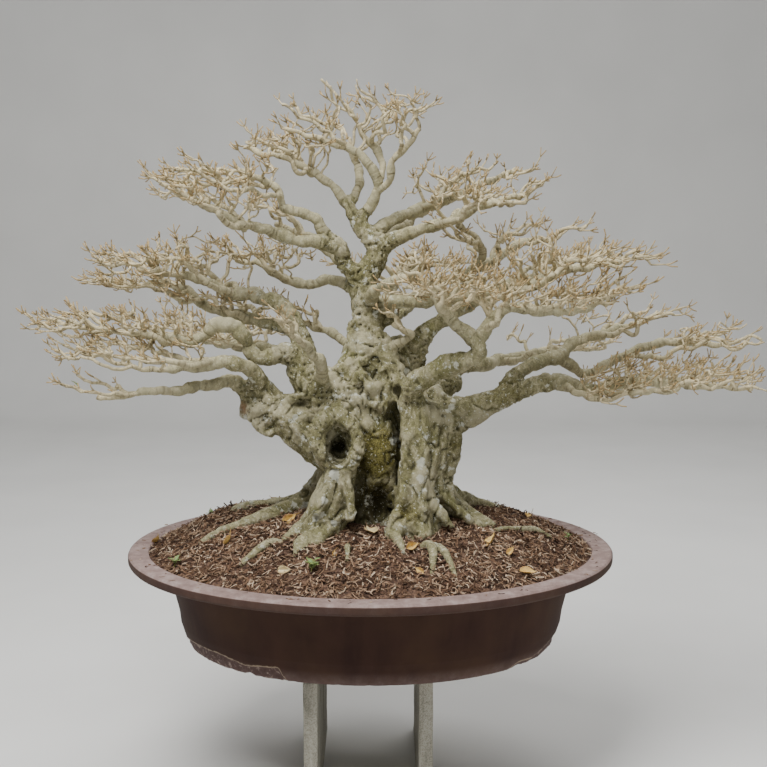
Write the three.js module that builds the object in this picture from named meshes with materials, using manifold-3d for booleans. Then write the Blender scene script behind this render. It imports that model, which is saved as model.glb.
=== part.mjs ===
// A leafless fig bonsai with a fused, many-columned trunk, in an oval clay pot
// on a low concrete stand. Millimetres, +Z up, +Y away from the viewing side.
import * as THREE from 'three';
import { mergeVertices } from 'three/addons/utils/BufferGeometryUtils.js';
import Module from 'manifold-3d';

const wasm = await Module();
wasm.setup();

// Driving dimensions. Heights are counted from the top face of the pot's lip.
const potHalfWidth = 450;
const potHalfDepth = 360;
const lipWidth = 37;
const lipThickness = 19;
const potBaseZ = -177;
const footHeight = 10;
const frontGapWidth = 356;
const sideGapWidth = 60;
const wallThickness = 14;
const drainRadius = 16;
const drainX = 150;
const moundHeight = 60;
const clearance = 0.3;
const standX = -3;
const standWidth = 230;
const standDepth = 370;
const legThickness = 26;
const legHeight = 245;
const standTopThickness = 20;

// The limbs are measured on the upright plane through the trunk, as they are seen
// by an eye at this place, and then slid along the line of sight to their depth.
const eye = new THREE.Vector3(24, -2300, 642);

function place(across, depth, height) {
  const slide = (depth - eye.y) / -eye.y;
  return new THREE.Vector3(
    eye.x + (across - eye.x) * slide,
    depth,
    eye.z + (height - eye.z) * slide,
  );
}

const colours = {
  bark: new THREE.MeshStandardMaterial({ color: 0xa9a083, roughness: 0.9, metalness: 0 }),
  twig: new THREE.MeshStandardMaterial({ color: 0xb09c7c, roughness: 0.9, metalness: 0 }),
  clay: new THREE.MeshStandardMaterial({ color: 0x5a3f38, roughness: 0.75, metalness: 0 }),
  mulch: new THREE.MeshStandardMaterial({ color: 0x5b4134, roughness: 1, metalness: 0 }),
  concrete: new THREE.MeshStandardMaterial({ color: 0xa39f92, roughness: 0.95, metalness: 0 }),
  fallenLeaf: new THREE.MeshStandardMaterial({ color: 0xc9a05a, roughness: 0.8, metalness: 0 }),
  greenLeaf: new THREE.MeshStandardMaterial({ color: 0x5f7f3f, roughness: 0.7, metalness: 0 }),
  plastic: new THREE.MeshStandardMaterial({ color: 0x202020, roughness: 0.6, metalness: 0 }),
};

// Closed shapes as solids, and back.
function solidOf(geometry) {
  const bare = geometry.clone();
  for (const name of Object.keys(bare.attributes)) {
    if (name !== 'position') {
      bare.deleteAttribute(name);
    }
  }
  const merged = mergeVertices(bare, 1e-4);
  const corners = merged.index.array;
  const kept = [];
  for (let i = 0; i < corners.length; i += 3) {
    const [a, b, c] = [corners[i], corners[i + 1], corners[i + 2]];
    if (a !== b && b !== c && c !== a) {
      kept.push(a, b, c);
    }
  }
  return new wasm.Manifold(new wasm.Mesh({
    numProp: 3,
    vertProperties: new Float32Array(merged.attributes.position.array),
    triVerts: new Uint32Array(kept),
  }));
}

function geometryOf(solid) {
  const mesh = solid.getMesh();
  const geometry = new THREE.BufferGeometry();
  geometry.setAttribute('position', new THREE.BufferAttribute(new Float32Array(mesh.vertProperties), 3));
  geometry.setIndex(new THREE.BufferAttribute(new Uint32Array(mesh.triVerts), 1));
  geometry.computeVertexNormals();
  return geometry;
}

function joined(solids) {
  let whole = solids[0];
  for (const next of solids.slice(1)) {
    whole = whole.add(next);
  }
  return whole;
}

function largestBody(solid) {
  const bodies = solid.decompose();
  bodies.sort((a, b) => b.volume() - a.volume());
  return bodies[0];
}

const bonsai = new THREE.Group();

function addPiece(name, geometry, material) {
  const mesh = new THREE.Mesh(geometry, material);
  mesh.name = name;
  bonsai.add(mesh);
  return mesh;
}

// Oval rings: a turned profile is flattened so that every ring keeps the same
// distance from the oval lip, on all sides.
const ovalFrom = 300;
const ovalShift = potHalfWidth - potHalfDepth;

function ovalFactor(radius) {
  const held = Math.max(radius, ovalFrom);
  return (held - ovalShift) / held;
}

function ovalTurned(profile, segments) {
  const points = profile.map(([r, z]) => new THREE.Vector2(r, z));
  const geometry = new THREE.LatheGeometry(points, segments);
  geometry.rotateX(Math.PI / 2);
  const position = geometry.attributes.position;
  for (let i = 0; i < position.count; i += 1) {
    const radius = Math.hypot(position.getX(i), position.getY(i));
    position.setY(i, position.getY(i) * ovalFactor(radius));
  }
  return geometry;
}

// Pot
const potSegments = 32;
const soilEdge = potHalfWidth - lipWidth - 2;
const floorZ = potBaseZ + wallThickness;
const bowlInside = [
  [0, floorZ], [314, floorZ], [334, -130], [360, -34], [soilEdge, -6],
];

function makePot() {
  const profile = [
    [0, potBaseZ], [342, potBaseZ], [349, potBaseZ + 22], [359, -110],
    [379, -26], [387, -lipThickness], [potHalfWidth - 3, -lipThickness],
    [potHalfWidth, 4 - lipThickness], [potHalfWidth, -4], [potHalfWidth - 4, 0],
    [potHalfWidth - lipWidth, 0],
    ...bowlInside.slice().reverse(),
  ];
  let pot = solidOf(ovalTurned(profile, potSegments));

  // Four feet, flush with the wall: what the gaps leave of a foot ring.
  const ring = [
    [315, potBaseZ + 2], [312, potBaseZ - footHeight], [338, potBaseZ - footHeight],
    [344, potBaseZ + 8], [315, potBaseZ + 2],
  ];
  let feet = solidOf(ovalTurned(ring, potSegments));
  const frontGap = new THREE.BoxGeometry(frontGapWidth, 900, 40).translate(28, 0, potBaseZ - 22);
  const sideGap = new THREE.BoxGeometry(900, sideGapWidth, 40).translate(0, 0, potBaseZ - 22);
  feet = feet.subtract(solidOf(frontGap)).subtract(solidOf(sideGap));
  pot = pot.add(feet);

  for (const side of [-1, 1]) {
    const drain = new THREE.CylinderGeometry(drainRadius, drainRadius, 60, 14);
    drain.rotateX(Math.PI / 2).translate(side * drainX, 0, potBaseZ + 6);
    pot = pot.subtract(solidOf(drain));
  }
  return pot;
}

addPiece('pot', geometryOf(makePot()), colours.clay);

// Soil mound: highest at the trunk, with a ridge over the roots behind on each side.
const soilHalf = { x: soilEdge, y: soilEdge - ovalShift };

function bump(x, y, cx, cy, sx, sy, height) {
  const dx = (x - cx) / sx;
  const dy = (y - cy) / sy;
  return height * Math.exp(-dx * dx - dy * dy);
}

function soilTop(x, y) {
  const share = Math.min(1, Math.hypot(x / soilHalf.x, y / soilHalf.y));
  const fade = 1 - share * share * share;
  const ridges = bump(x, y, -290, 110, 110, 90, 14) + bump(x, y, 250, 120, 120, 90, 8);
  const lumps = 2.2 * Math.sin(x / 31) * Math.cos(y / 27) + 1.4 * Math.sin((x + 2 * y) / 17);
  return -6 + moundHeight * 1.1 * fade + (ridges + lumps) * Math.min(1, 4 * (1 - share));
}

// A mound over the given lower profile, which runs from the axis out to the soil's edge.
function moundOver(lower, lift) {
  const rings = [378, 340, 300, 255, 210, 165, 120, 60, 0];
  const unset = 1000;
  const geometry = ovalTurned([...lower, ...rings.map((r) => [r, unset])], potSegments);
  const position = geometry.attributes.position;
  for (let i = 0; i < position.count; i += 1) {
    if (position.getZ(i) === unset) {
      position.setZ(i, soilTop(position.getX(i), position.getY(i)) + lift);
    }
  }
  return solidOf(geometry);
}

const plugRadius = 60;
const plugDepth = 55;

function cylinderDown(radius, depth, x, y, topZ, sides) {
  const geometry = new THREE.CylinderGeometry(radius, radius, depth, sides);
  return solidOf(geometry.rotateX(Math.PI / 2).translate(x, y, topZ - depth / 2));
}

const meshPlate = { side: 46, thickness: 2, gap: 15, bar: 4 };

function makeMeshPlate() {
  let plate = solidOf(new THREE.BoxGeometry(meshPlate.side, meshPlate.side, meshPlate.thickness));
  const pitch = meshPlate.gap + meshPlate.bar;
  for (const column of [-0.5, 0.5]) {
    for (const row of [-0.5, 0.5]) {
      const hole = new THREE.BoxGeometry(meshPlate.gap, meshPlate.gap, 4 * meshPlate.thickness);
      plate = plate.subtract(solidOf(hole.translate(column * pitch, row * pitch, 0)));
    }
  }
  return geometryOf(plate);
}

const soilFill = bowlInside.map(([r, z]) => [Math.max(0, r - clearance), z + clearance]);
const soilCutter = moundOver([[0, -150], [soilEdge, -150], [soilEdge, clearance - 6]], clearance);
let soil = moundOver(soilFill, 0);
const plugPlace = { x: 20, y: -10 };
soil = soil.subtract(cylinderDown(plugRadius + clearance, 200, plugPlace.x, plugPlace.y,
  soilTop(plugPlace.x, plugPlace.y) + 200 - plugDepth - clearance, 16));
for (const [name, side] of [['drain_mesh_left', -1], ['drain_mesh_right', 1]]) {
  const room = meshPlate.side + 2 * clearance;
  const recess = new THREE.BoxGeometry(room, room, 2 * (meshPlate.thickness + 2 * clearance));
  soil = soil.subtract(solidOf(recess.translate(side * drainX, 0, floorZ)));
  const plate = makeMeshPlate().translate(side * drainX, 0, floorZ + clearance + meshPlate.thickness / 2);
  addPiece(name, plate, colours.plastic);
}
addPiece('soil', geometryOf(soil), colours.mulch);

// Stand: two upright slabs under a small top slab, on which the pot's floor rests.
const standTopZ = potBaseZ - clearance;
const legTopZ = standTopZ - standTopThickness - clearance;
addPiece('stand_top', new THREE.BoxGeometry(standWidth, standDepth, standTopThickness), colours.concrete)
  .position.set(standX, 0, standTopZ - standTopThickness / 2);
for (const [name, side] of [['stand_leg_left', -1], ['stand_leg_right', 1]]) {
  addPiece(name, new THREE.BoxGeometry(legThickness, standDepth, legHeight), colours.concrete)
    .position.set(standX + side * (standWidth - legThickness) / 2, 0, legTopZ - legHeight / 2);
}

// Rows are [across, depth, height, radius].
const woodRows = {
  core: [
    [2, 10, 0, 88], [6, 6, 87, 72], [3, 2, 153, 68], [-5, 0, 219, 68], [-16, -4, 276, 62],
    [-19, -6, 328, 46], [-14, -4, 365, 36], [-4, -2, 396, 28], [-1, 0, 427, 28],
    [-6, 2, 457, 29], [-15, 4, 486, 24],
  ],
  leader: [
    [-15, 4, 486, 24], [-4, 4, 511, 23], [12, 2, 537, 22], [10, 2, 560, 19], [-4, 4, 580, 16],
    [-24, 8, 602, 14], [-38, 12, 625, 12],
  ],
  leftFoot: [
    [-99, -98, 0, 48], [-85, -98, 48, 40], [-68, -98, 96, 33], [-57, -98, 132, 30],
    [-53, -96, 155, 27],
  ],
  leftArch: [
    [-53, -104, 148, 22], [-75, -104, 167, 17], [-94, -100, 193, 16], [-95, -92, 219, 17],
    [-77, -84, 242, 19], [-47, -74, 253, 22],
  ],
  rightArch: [
    [-51, -104, 151, 20], [-31, -102, 170, 14], [-25, -98, 197, 14], [-34, -92, 223, 13],
    [-51, -88, 240, 14],
  ],
  leftMass: [
    [-47, -40, 219, 58], [-67, -35, 266, 50], [-93, -30, 298, 42], [-119, -28, 328, 34],
    [-129, -28, 350, 28],
  ],
  stump: [
    [-35, -40, 172, 56], [-79, -50, 191, 46], [-121, -46, 219, 40], [-158, -40, 246, 38],
    [-189, -34, 261, 34], [-215, -30, 268, 28], [-228, -28, 266, 24],
  ],
  rightColumn: [
    [81, -98, 0, 52], [81, -98, 48, 41], [81, -98, 90, 34], [84, -96, 144, 29],
    [84, -90, 201, 27], [79, -82, 248, 27], [75, -78, 279, 26],
  ],
  farColumn: [
    [141, -56, 87, 21], [133, -58, 121, 19], [138, -54, 159, 24], [140, -46, 201, 32],
    [129, -36, 238, 38], [91, -20, 276, 44],
  ],
  bigLimb: [
    [101, -36, 216, 46], [143, -36, 242, 40], [180, -34, 255, 30], [213, -32, 268, 23],
    [239, -30, 278, 20], [265, -28, 287, 18],
  ],
  deadLimb: [
    [64, 30, 266, 40], [110, 36, 291, 30], [143, 40, 306, 25], [169, 44, 309, 18],
  ],
  backLimb: [
    [40, 50, 219, 50], [66, 56, 266, 38], [78, 60, 313, 26], [78, 62, 346, 23],
    [84, 64, 372, 22],
  ],
  backColumnA: [
    [-48, 80, 0, 50], [-35, 66, 87, 44], [-27, 50, 182, 44], [-27, 36, 257, 44],
  ],
  backColumnB: [
    [40, 118, 0, 52], [36, 96, 87, 44], [29, 74, 182, 46], [14, 50, 257, 46],
  ],
  backColumnC: [
    [111, 70, 0, 46], [101, 52, 87, 40], [92, 34, 172, 44], [77, 20, 238, 44],
  ],
  backRib: [
    [-9, 112, 0, 44], [-5, 92, 106, 38], [-8, 72, 201, 36],
  ],
};

// Roots are rows of [x, y, height over the soil, radius].
const trunkRoots = [
  [[-60, 45, 70, 28], [-98, 58, 36, 21], [-128, 52, 12, 16], [-153, 28, 3, 14], [-187, -8, 2, 12],
    [-222, -33, 1, 10.5], [-257, -51, 0, 9], [-288, -68, -1, 6.5], [-312, -84, -4, 4]],
  [[-60, 80, 60, 24], [-110, 100, 20, 15], [-155, 98, 4, 11], [-200, 86, 1, 9], [-240, 72, 0, 7],
    [-275, 62, -3, 5]],
  [[-62, -70, 40, 30], [-92, -84, 14, 20], [-118, -100, 3, 14], [-138, -120, 0, 10], [-155, -142, -4, 6]],
  [[-60, -95, 30, 28], [-76, -118, 8, 20], [-88, -146, 0, 13], [-97, -170, -5, 8]],
  [[34, -80, 20, 18], [38, -112, 4, 12], [45, -148, 1, 9], [54, -182, -1, 7], [60, -205, -5, 4]],
  [[118, -30, 60, 24], [146, -20, 26, 17], [168, -18, 8, 12], [188, -40, 1, 9], [205, -62, -3, 6]],
  [[98, -60, 50, 20], [120, -66, 18, 13], [136, -78, 3, 10], [150, -96, -2, 7]],
  [[140, 20, 30, 18], [172, 0, 10, 12], [205, -30, 2, 9], [232, -50, -3, 6]],
  [[78, -118, 26, 24], [92, -134, 5, 14], [100, -150, -4, 8]],
  [[52, -118, 22, 22], [44, -140, 6, 15], [34, -160, -3, 9]],
  [[60, 110, 30, 26], [90, 150, 8, 16], [125, 185, 0, 11], [160, 215, -4, 7]],
  [[-20, 120, 30, 26], [-40, 165, 8, 16], [-75, 205, 0, 11], [-110, 235, -4, 7]],
  [[130, 60, 30, 22], [175, 80, 8, 14], [225, 100, 1, 10], [262, 112, -4, 6]],
  [[20, 140, 24, 20], [22, 190, 4, 12], [10, 235, -4, 7]],
  [[-88, -128, 2, 12], [-104, -146, 4, 10], [-122, -164, 4, 8], [-127, -190, 1, 6], [-129, -208, -4, 4]],
  [[-116, -156, 3, 7], [-110, -180, 2, 5], [-107, -204, -3, 3]],
];

const looseRoots = {
  root_far_left: [
    [
      [-222, -205, -3, 4], [-206, -190, 2, 5.5], [-190, -172, 3, 6], [-170, -153, 2, 5.5],
      [-154, -148, -3, 4],
    ],
  ],
  root_middle: [
    [[-37, -172, -3, 3.5], [-38, -190, 3, 4.5], [-37, -212, 2, 4], [-38, -232, -3, 3]],
  ],
  root_right: [
    [[90, -176, -4, 5], [98, -178, 3, 7], [106, -186, 5, 8], [109, -207, 3, 6.5], [107, -240, -1, 5],
      [106, -256, -4, 3]],
    [[104, -180, 4, 6.5], [118, -182, 4, 6.5], [131, -204, 2, 6], [140, -238, -1, 4.5], [145, -256, -4, 3]],
  ],
  root_right_thin: [
    [[225, -62, -3, 3.5], [248, -58, 2, 4.5], [275, -46, 3, 5], [305, -32, 2, 4.5], [335, -37, -2, 3]],
  ],
};

// A smooth path through rows: samples of { at, r }, about one per step of length.
function spline(a, b, c, d, t) {
  const quadratic = 2 * a - 5 * b + 4 * c - d;
  const cubic = 3 * b - a - 3 * c + d;
  return 0.5 * (2 * b + (c - a) * t + quadratic * t * t + cubic * t * t * t);
}

function samplePath(points, radii, step) {
  const last = points.length - 1;
  const samples = [{ at: points[0].clone(), r: radii[0], row: 0 }];
  for (let i = 0; i < last; i += 1) {
    const b = points[i];
    const c = points[i + 1];
    const a = i > 0 ? points[i - 1] : b.clone().multiplyScalar(2).sub(c);
    const d = i + 2 <= last ? points[i + 2] : c.clone().multiplyScalar(2).sub(b);
    const dx = c.x - b.x;
    const dy = c.y - b.y;
    const dz = c.z - b.z;
    const count = Math.max(1, Math.ceil(Math.sqrt(dx * dx + dy * dy + dz * dz) / step));
    for (let k = 1; k <= count; k += 1) {
      const t = k / count;
      samples.push({
        at: new THREE.Vector3(
          spline(a.x, b.x, c.x, d.x, t),
          spline(a.y, b.y, c.y, d.y, t),
          spline(a.z, b.z, c.z, d.z, t),
        ),
        r: radii[i] + (radii[i + 1] - radii[i]) * t,
        row: i + t,
      });
    }
  }
  return samples;
}

function limbPath(rows, step) {
  return samplePath(rows.map(([u, depth, v]) => place(u, depth, v)), rows.map((row) => row[3]), step);
}

function rootPath(rows, step) {
  const points = rows.map(([x, y, lift]) => new THREE.Vector3(x, y, soilTop(x, y) + lift));
  return samplePath(points, rows.map((row) => row[3]), step);
}

// The fewest samples that keep the course and the thickness within the tolerance.
function thinned(samples, tolerance) {
  const first = samples[0];
  const last = samples[samples.length - 1];
  const chord = new THREE.Line3(first.at, last.at);
  const foot = new THREE.Vector3();
  let worst = tolerance;
  let split = -1;
  for (let i = 1; i < samples.length - 1; i += 1) {
    const share = chord.closestPointToPointParameter(samples[i].at, true);
    chord.at(share, foot);
    const thickness = first.r + (last.r - first.r) * share;
    const off = foot.distanceTo(samples[i].at) + Math.abs(thickness - samples[i].r);
    if (off > worst) {
      worst = off;
      split = i;
    }
  }
  if (split < 0) {
    return [first, last];
  }
  const before = thinned(samples.slice(0, split + 1), tolerance);
  const after = thinned(samples.slice(split), tolerance);
  return [...before, ...after.slice(1)];
}

// A round limb: a cylinder bent along the samples, one ring for each, pointed if asked.
function limbSolid(samples, sides, pointed = false) {
  const steps = samples.length - 1;
  const geometry = new THREE.CylinderGeometry(pointed ? 0 : 1, 1, 1, sides, steps);
  const tangents = samples.map((sample, i) => {
    if (sample.facing) {
      return sample.facing;
    }
    const before = samples[Math.max(0, i - 1)].at;
    const after = samples[Math.min(steps, i + 1)].at;
    return after.clone().sub(before).normalize();
  });
  const aside = Math.abs(tangents[0].z) < 0.9 ? new THREE.Vector3(0, 0, 1) : new THREE.Vector3(1, 0, 0);
  let across = aside.cross(tangents[0]).normalize();
  const frames = tangents.map((tangent) => {
    across = across.clone().addScaledVector(tangent, -across.dot(tangent)).normalize();
    return { across, over: across.clone().cross(tangent) };
  });
  const position = geometry.attributes.position;
  for (let i = 0; i < position.count; i += 1) {
    const ring = Math.round((position.getY(i) + 0.5) * steps);
    const local = pointed ? Math.max(1e-9, 1 - ring / steps) : 1;
    const { at, r } = samples[ring];
    const { across: u, over: v } = frames[ring];
    const point = at.clone();
    if (!pointed || ring < steps) {
      point.addScaledVector(u, (position.getX(i) / local) * r);
      point.addScaledVector(v, (position.getZ(i) / local) * r);
    }
    position.setXYZ(i, point.x, point.y, point.z);
  }
  return solidOf(geometry);
}

// Boughs: the rows up to `stub` belong to the trunk's wood, the rest to the spray.
// Pads are clouds that the twigs fill: [across, depth, height, half width, half depth, half height].
const boughs = [
  {
    name: 'upper_left_leader', stub: 5, rows: [
      [-15, 2, 482, 20], [-33, -6, 513, 16], [-50, -10, 529, 15], [-51, -12, 551, 14],
      [-71, -16, 567, 12], [-87, -20, 587, 11], [-98, -24, 607, 10], [-127, -30, 616, 9],
      [-152, -34, 625, 8], [-161, -36, 648, 7.5], [-175, -38, 668, 7], [-202, -42, 680, 6],
      [-229, -46, 691, 4], [-261, -50, 694, 3],
    ], pads: [
      [-245, -50, 680, 130, 120, 48], [-330, -40, 675, 65, 100, 36],
    ],
  },
  {
    name: 'crown_left', stub: 1, rows: [
      [-36, 12, 623, 10], [-53, 20, 648, 9], [-69, 26, 668, 8], [-94, 34, 684, 7.5],
      [-126, 44, 703, 7], [-160, 52, 717, 6], [-194, 58, 726, 4.5], [-223, 62, 733, 3],
    ], pads: [
      [-145, 50, 735, 100, 110, 48],
    ],
  },
  {
    name: 'apex_left', stub: 1, rows: [
      [-24, 8, 602, 11], [0, 2, 630, 10], [12, -2, 655, 9.5], [14, -4, 673, 9],
      [3, -6, 696, 8.5], [-15, -8, 716, 8], [-34, -10, 733, 7], [-58, -14, 740, 6],
      [-90, -18, 751, 5], [-125, -22, 758, 4], [-147, -26, 768, 3],
    ], pads: [
      [-80, -14, 785, 95, 100, 55],
    ],
  },
  {
    name: 'apex_top', stub: 0, partOf: 'apex_left', rows: [
      [14, -4, 669, 8], [23, 8, 694, 7.5], [18, 16, 721, 7], [0, 20, 744, 6],
      [-18, 22, 765, 5], [-32, 22, 789, 4], [-45, 20, 809, 3],
    ], pads: [
      [-45, 20, 810, 70, 80, 45], [25, 16, 800, 60, 70, 32],
    ],
  },
  {
    name: 'apex_right', stub: 0, partOf: 'apex_left', rows: [
      [12, -2, 655, 8], [36, -20, 677, 7], [39, -28, 701, 6.5], [54, -32, 726, 6],
      [75, -36, 747, 5], [89, -38, 768, 3.5],
    ], pads: [
      [60, -30, 780, 62, 90, 48],
    ],
  },
  {
    name: 'upper_right', stub: 2, rows: [
      [12, 2, 540, 16], [32, -8, 564, 15], [58, -16, 576, 14], [90, -26, 589, 13],
      [126, -36, 598, 12], [159, -44, 609, 10.5], [187, -52, 627, 9], [220, -58, 636, 7.5],
      [249, -62, 643, 6], [279, -66, 650, 4],
    ], pads: [
      [180, -60, 640, 95, 110, 42], [270, -60, 660, 55, 90, 45],
    ],
  },
  {
    name: 'upper_right_back', stub: 1, rows: [
      [0, 6, 573, 13], [27, 24, 596, 12], [57, 36, 612, 11], [90, 46, 625, 10],
      [122, 54, 634, 9], [155, 62, 652, 8], [191, 70, 662, 7], [225, 76, 677, 5.5],
      [260, 80, 691, 4],
    ], pads: [
      [145, 70, 680, 110, 100, 45], [260, 80, 690, 50, 90, 45],
    ],
  },
  {
    name: 'long_left', stub: 2, rows: [
      [-48, -12, 548, 14], [-73, -24, 560, 13], [-102, -40, 567, 12.5], [-135, -48, 569, 12],
      [-167, -54, 580, 11], [-199, -64, 591, 10], [-236, -72, 598, 9], [-268, -80, 616, 8],
      [-300, -88, 634, 6.5], [-332, -96, 652, 5], [-360, -102, 669, 3],
    ], pads: [
      [-280, -85, 640, 120, 110, 44], [-350, -95, 660, 45, 80, 40],
    ],
  },
  {
    name: 'mid_left', stub: 3, rows: [
      [-115, -28, 335, 26], [-122, -20, 378, 20], [-133, -14, 405, 18], [-149, -10, 437, 16],
      [-170, -6, 457, 15], [-198, -4, 466, 13], [-229, -2, 470, 12], [-256, 0, 468, 11],
      [-274, 2, 484, 10], [-295, 4, 495, 9], [-335, 6, 504, 7.5], [-373, 8, 510, 6],
      [-404, 10, 513, 4],
    ], pads: [
      [-320, 5, 530, 125, 120, 45], [-445, 10, 530, 75, 95, 36],
    ],
  },
  {
    name: 'low_left_back', stub: 2, rows: [
      [-129, -4, 396, 15], [-156, 14, 413, 14], [-187, 26, 418, 13], [-224, 36, 427, 12],
      [-260, 44, 438, 11], [-296, 50, 448, 10], [-318, 54, 462, 9], [-340, 58, 479, 8],
      [-374, 60, 490, 7], [-416, 62, 488, 5], [-460, 62, 482, 3.5],
    ], pads: [
      [-400, 62, 490, 130, 110, 36], [-255, 60, 460, 90, 110, 26],
    ],
  },
  {
    name: 'arching_left', stub: 2, rows: [
      [-120, -34, 335, 20], [-151, -44, 365, 17], [-181, -50, 356, 15], [-208, -56, 356, 14],
      [-224, -60, 380, 13.5], [-235, -64, 402, 13], [-260, -68, 415, 12], [-286, -72, 413, 11],
      [-305, -74, 396, 10], [-334, -76, 385, 9], [-371, -78, 389, 8], [-407, -80, 398, 6.5],
      [-449, -80, 402, 5], [-504, -80, 405, 3.5],
    ], pads: [
      [-440, -75, 420, 150, 120, 42], [-570, -70, 415, 70, 90, 34],
    ],
  },
  {
    name: 'low_left_front', stub: 2, rows: [
      [-182, -36, 279, 20], [-200, -56, 304, 17], [-214, -74, 326, 15], [-236, -94, 341, 13],
      [-269, -106, 345, 11.5], [-304, -116, 339, 10.5], [-335, -124, 339, 9],
      [-372, -132, 333, 7], [-414, -138, 335, 5], [-464, -142, 343, 3.5],
    ], pads: [
      [-405, -130, 365, 140, 110, 30], [-525, -120, 365, 70, 90, 26],
    ],
  },
  {
    name: 'lowest_left', stub: 2, rows: [
      [-219, -30, 268, 20], [-228, -44, 289, 16], [-255, -66, 311, 13], [-288, -86, 304, 12],
      [-320, -104, 298, 10.5], [-351, -120, 289, 9], [-388, -136, 292, 8],
      [-421, -150, 289, 6.5], [-462, -164, 281, 5], [-506, -176, 283, 3.5],
    ], pads: [
      [-490, -165, 300, 85, 95, 28],
    ],
  },
  {
    name: 'back_left', stub: 1, rows: [
      [-22, 8, 475, 12], [-48, 26, 491, 11], [-73, 42, 497, 10], [-99, 58, 491, 9.5],
      [-128, 76, 488, 9], [-157, 94, 499, 8], [-186, 112, 519, 7], [-215, 130, 529, 5.5],
      [-240, 146, 533, 4],
    ], pads: [
      [-195, 125, 540, 100, 120, 36],
    ],
  },
  {
    name: 'small_back_left', stub: 1, rows: [
      [-23, 0, 369, 11], [-50, 22, 385, 9], [-78, 40, 405, 8], [-107, 58, 413, 6.5],
      [-136, 74, 420, 5],
    ], pads: [
      [-105, 62, 435, 65, 70, 30],
    ],
  },
  {
    name: 'inner_right', stub: 1, rows: [
      [18, -16, 365, 10], [47, -40, 378, 8], [73, -52, 394, 7], [58, -58, 405, 6],
      [40, -62, 416, 4.5],
    ], pads: [
      [55, -60, 425, 40, 50, 22],
    ],
  },
  {
    name: 'right_riser', stub: 2, rows: [
      [10, 0, 416, 15], [40, 10, 431, 13], [65, 18, 448, 12], [85, 26, 466, 11.5],
      [112, 34, 482, 11], [145, 42, 497, 10.5], [181, 52, 515, 10], [217, 60, 529, 9],
      [246, 66, 549, 7.5], [280, 72, 564, 6], [317, 78, 573, 4],
    ], pads: [
      [235, 66, 575, 110, 110, 50], [345, 80, 585, 60, 90, 42],
    ],
  },
  {
    name: 'right_riser_front', stub: 0, partOf: 'right_riser', rows: [
      [181, 52, 515, 8], [203, 34, 540, 7], [199, 20, 564, 6.5], [177, 8, 582, 6],
      [155, -4, 594, 5],
    ], pads: [
      [165, 0, 585, 75, 80, 36],
    ],
  },
  {
    name: 'right_long', stub: 1, rows: [
      [7, -8, 446, 14], [40, -30, 457, 13], [80, -46, 460, 12], [127, -60, 462, 11.5],
      [171, -72, 466, 11], [211, -82, 466, 10.5], [247, -90, 468, 10], [280, -96, 480, 9],
      [316, -102, 500, 8], [359, -108, 515, 7], [410, -112, 524, 5.5], [462, -114, 535, 4],
    ], pads: [
      [345, -100, 530, 120, 120, 38], [455, -108, 535, 60, 80, 34],
      [165, -80, 490, 100, 100, 34],
    ],
  },
  {
    name: 'back_right', stub: 2, rows: [
      [84, 64, 372, 22], [95, 66, 394, 19], [111, 70, 409, 16], [138, 84, 427, 14],
      [171, 104, 446, 13], [207, 126, 468, 12], [247, 148, 486, 10], [287, 168, 500, 8],
      [330, 188, 508, 6], [372, 204, 511, 4],
    ], pads: [
      [310, 180, 530, 120, 120, 36],
    ],
  },
  {
    name: 'front_right', stub: 2, rows: [
      [75, -80, 276, 22], [80, -104, 304, 20], [106, -124, 319, 19], [135, -142, 339, 18],
      [165, -156, 348, 16.5], [187, -166, 354, 15], [196, -172, 369, 14],
      [186, -176, 389, 12.5], [168, -180, 404, 11.5], [149, -186, 422, 10.5],
      [134, -190, 442, 9], [120, -194, 460, 7], [109, -196, 482, 5],
    ], pads: [
      [120, -190, 475, 85, 90, 40],
    ],
  },
  {
    name: 'front_right_long', stub: 0, partOf: 'front_right', rows: [
      [192, -174, 381, 13], [212, -168, 407, 12], [230, -164, 431, 11], [259, -160, 444, 10],
      [299, -156, 442, 9.5], [343, -152, 438, 8.5], [383, -148, 444, 7], [419, -144, 460, 6],
      [459, -140, 479, 4],
    ], pads: [
      [345, -150, 465, 120, 100, 34], [435, -142, 480, 60, 80, 30],
      [235, -165, 460, 60, 80, 30],
    ],
  },
  {
    name: 'big_right', stub: 2, rows: [
      [239, -30, 278, 20], [265, -28, 287, 18], [294, -30, 300, 16.5], [331, -34, 307, 15],
      [371, -40, 304, 14], [412, -46, 292, 12.5], [452, -52, 306, 11], [500, -58, 313, 10],
      [552, -62, 307, 8.5], [607, -66, 302, 7], [663, -68, 298, 5], [703, -70, 294, 3.5],
    ], pads: [
      [550, -60, 315, 165, 120, 34], [425, -50, 290, 90, 100, 32],
    ],
  },
  {
    name: 'big_right_upper', stub: 2, rows: [
      [239, -30, 278, 15], [253, -14, 307, 14], [279, 0, 332, 13], [311, 12, 348, 12.5],
      [344, 24, 357, 12], [366, 34, 376, 11], [391, 44, 389, 10], [424, 54, 400, 9],
      [460, 62, 413, 7], [502, 68, 424, 5],
    ], pads: [
      [465, 60, 425, 120, 110, 38],
    ],
  },
  {
    name: 'big_right_mid', stub: 0, partOf: 'big_right_upper', rows: [
      [341, 22, 356, 10], [363, 34, 343, 9.5], [396, 44, 328, 9.5], [429, 50, 337, 9],
      [466, 54, 357, 8.5], [509, 56, 376, 8], [556, 56, 383, 7], [612, 54, 381, 5.5],
      [663, 52, 380, 4],
    ], pads: [
      [585, 52, 390, 140, 110, 36], [685, 48, 385, 40, 80, 30],
    ],
  },
  {
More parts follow.
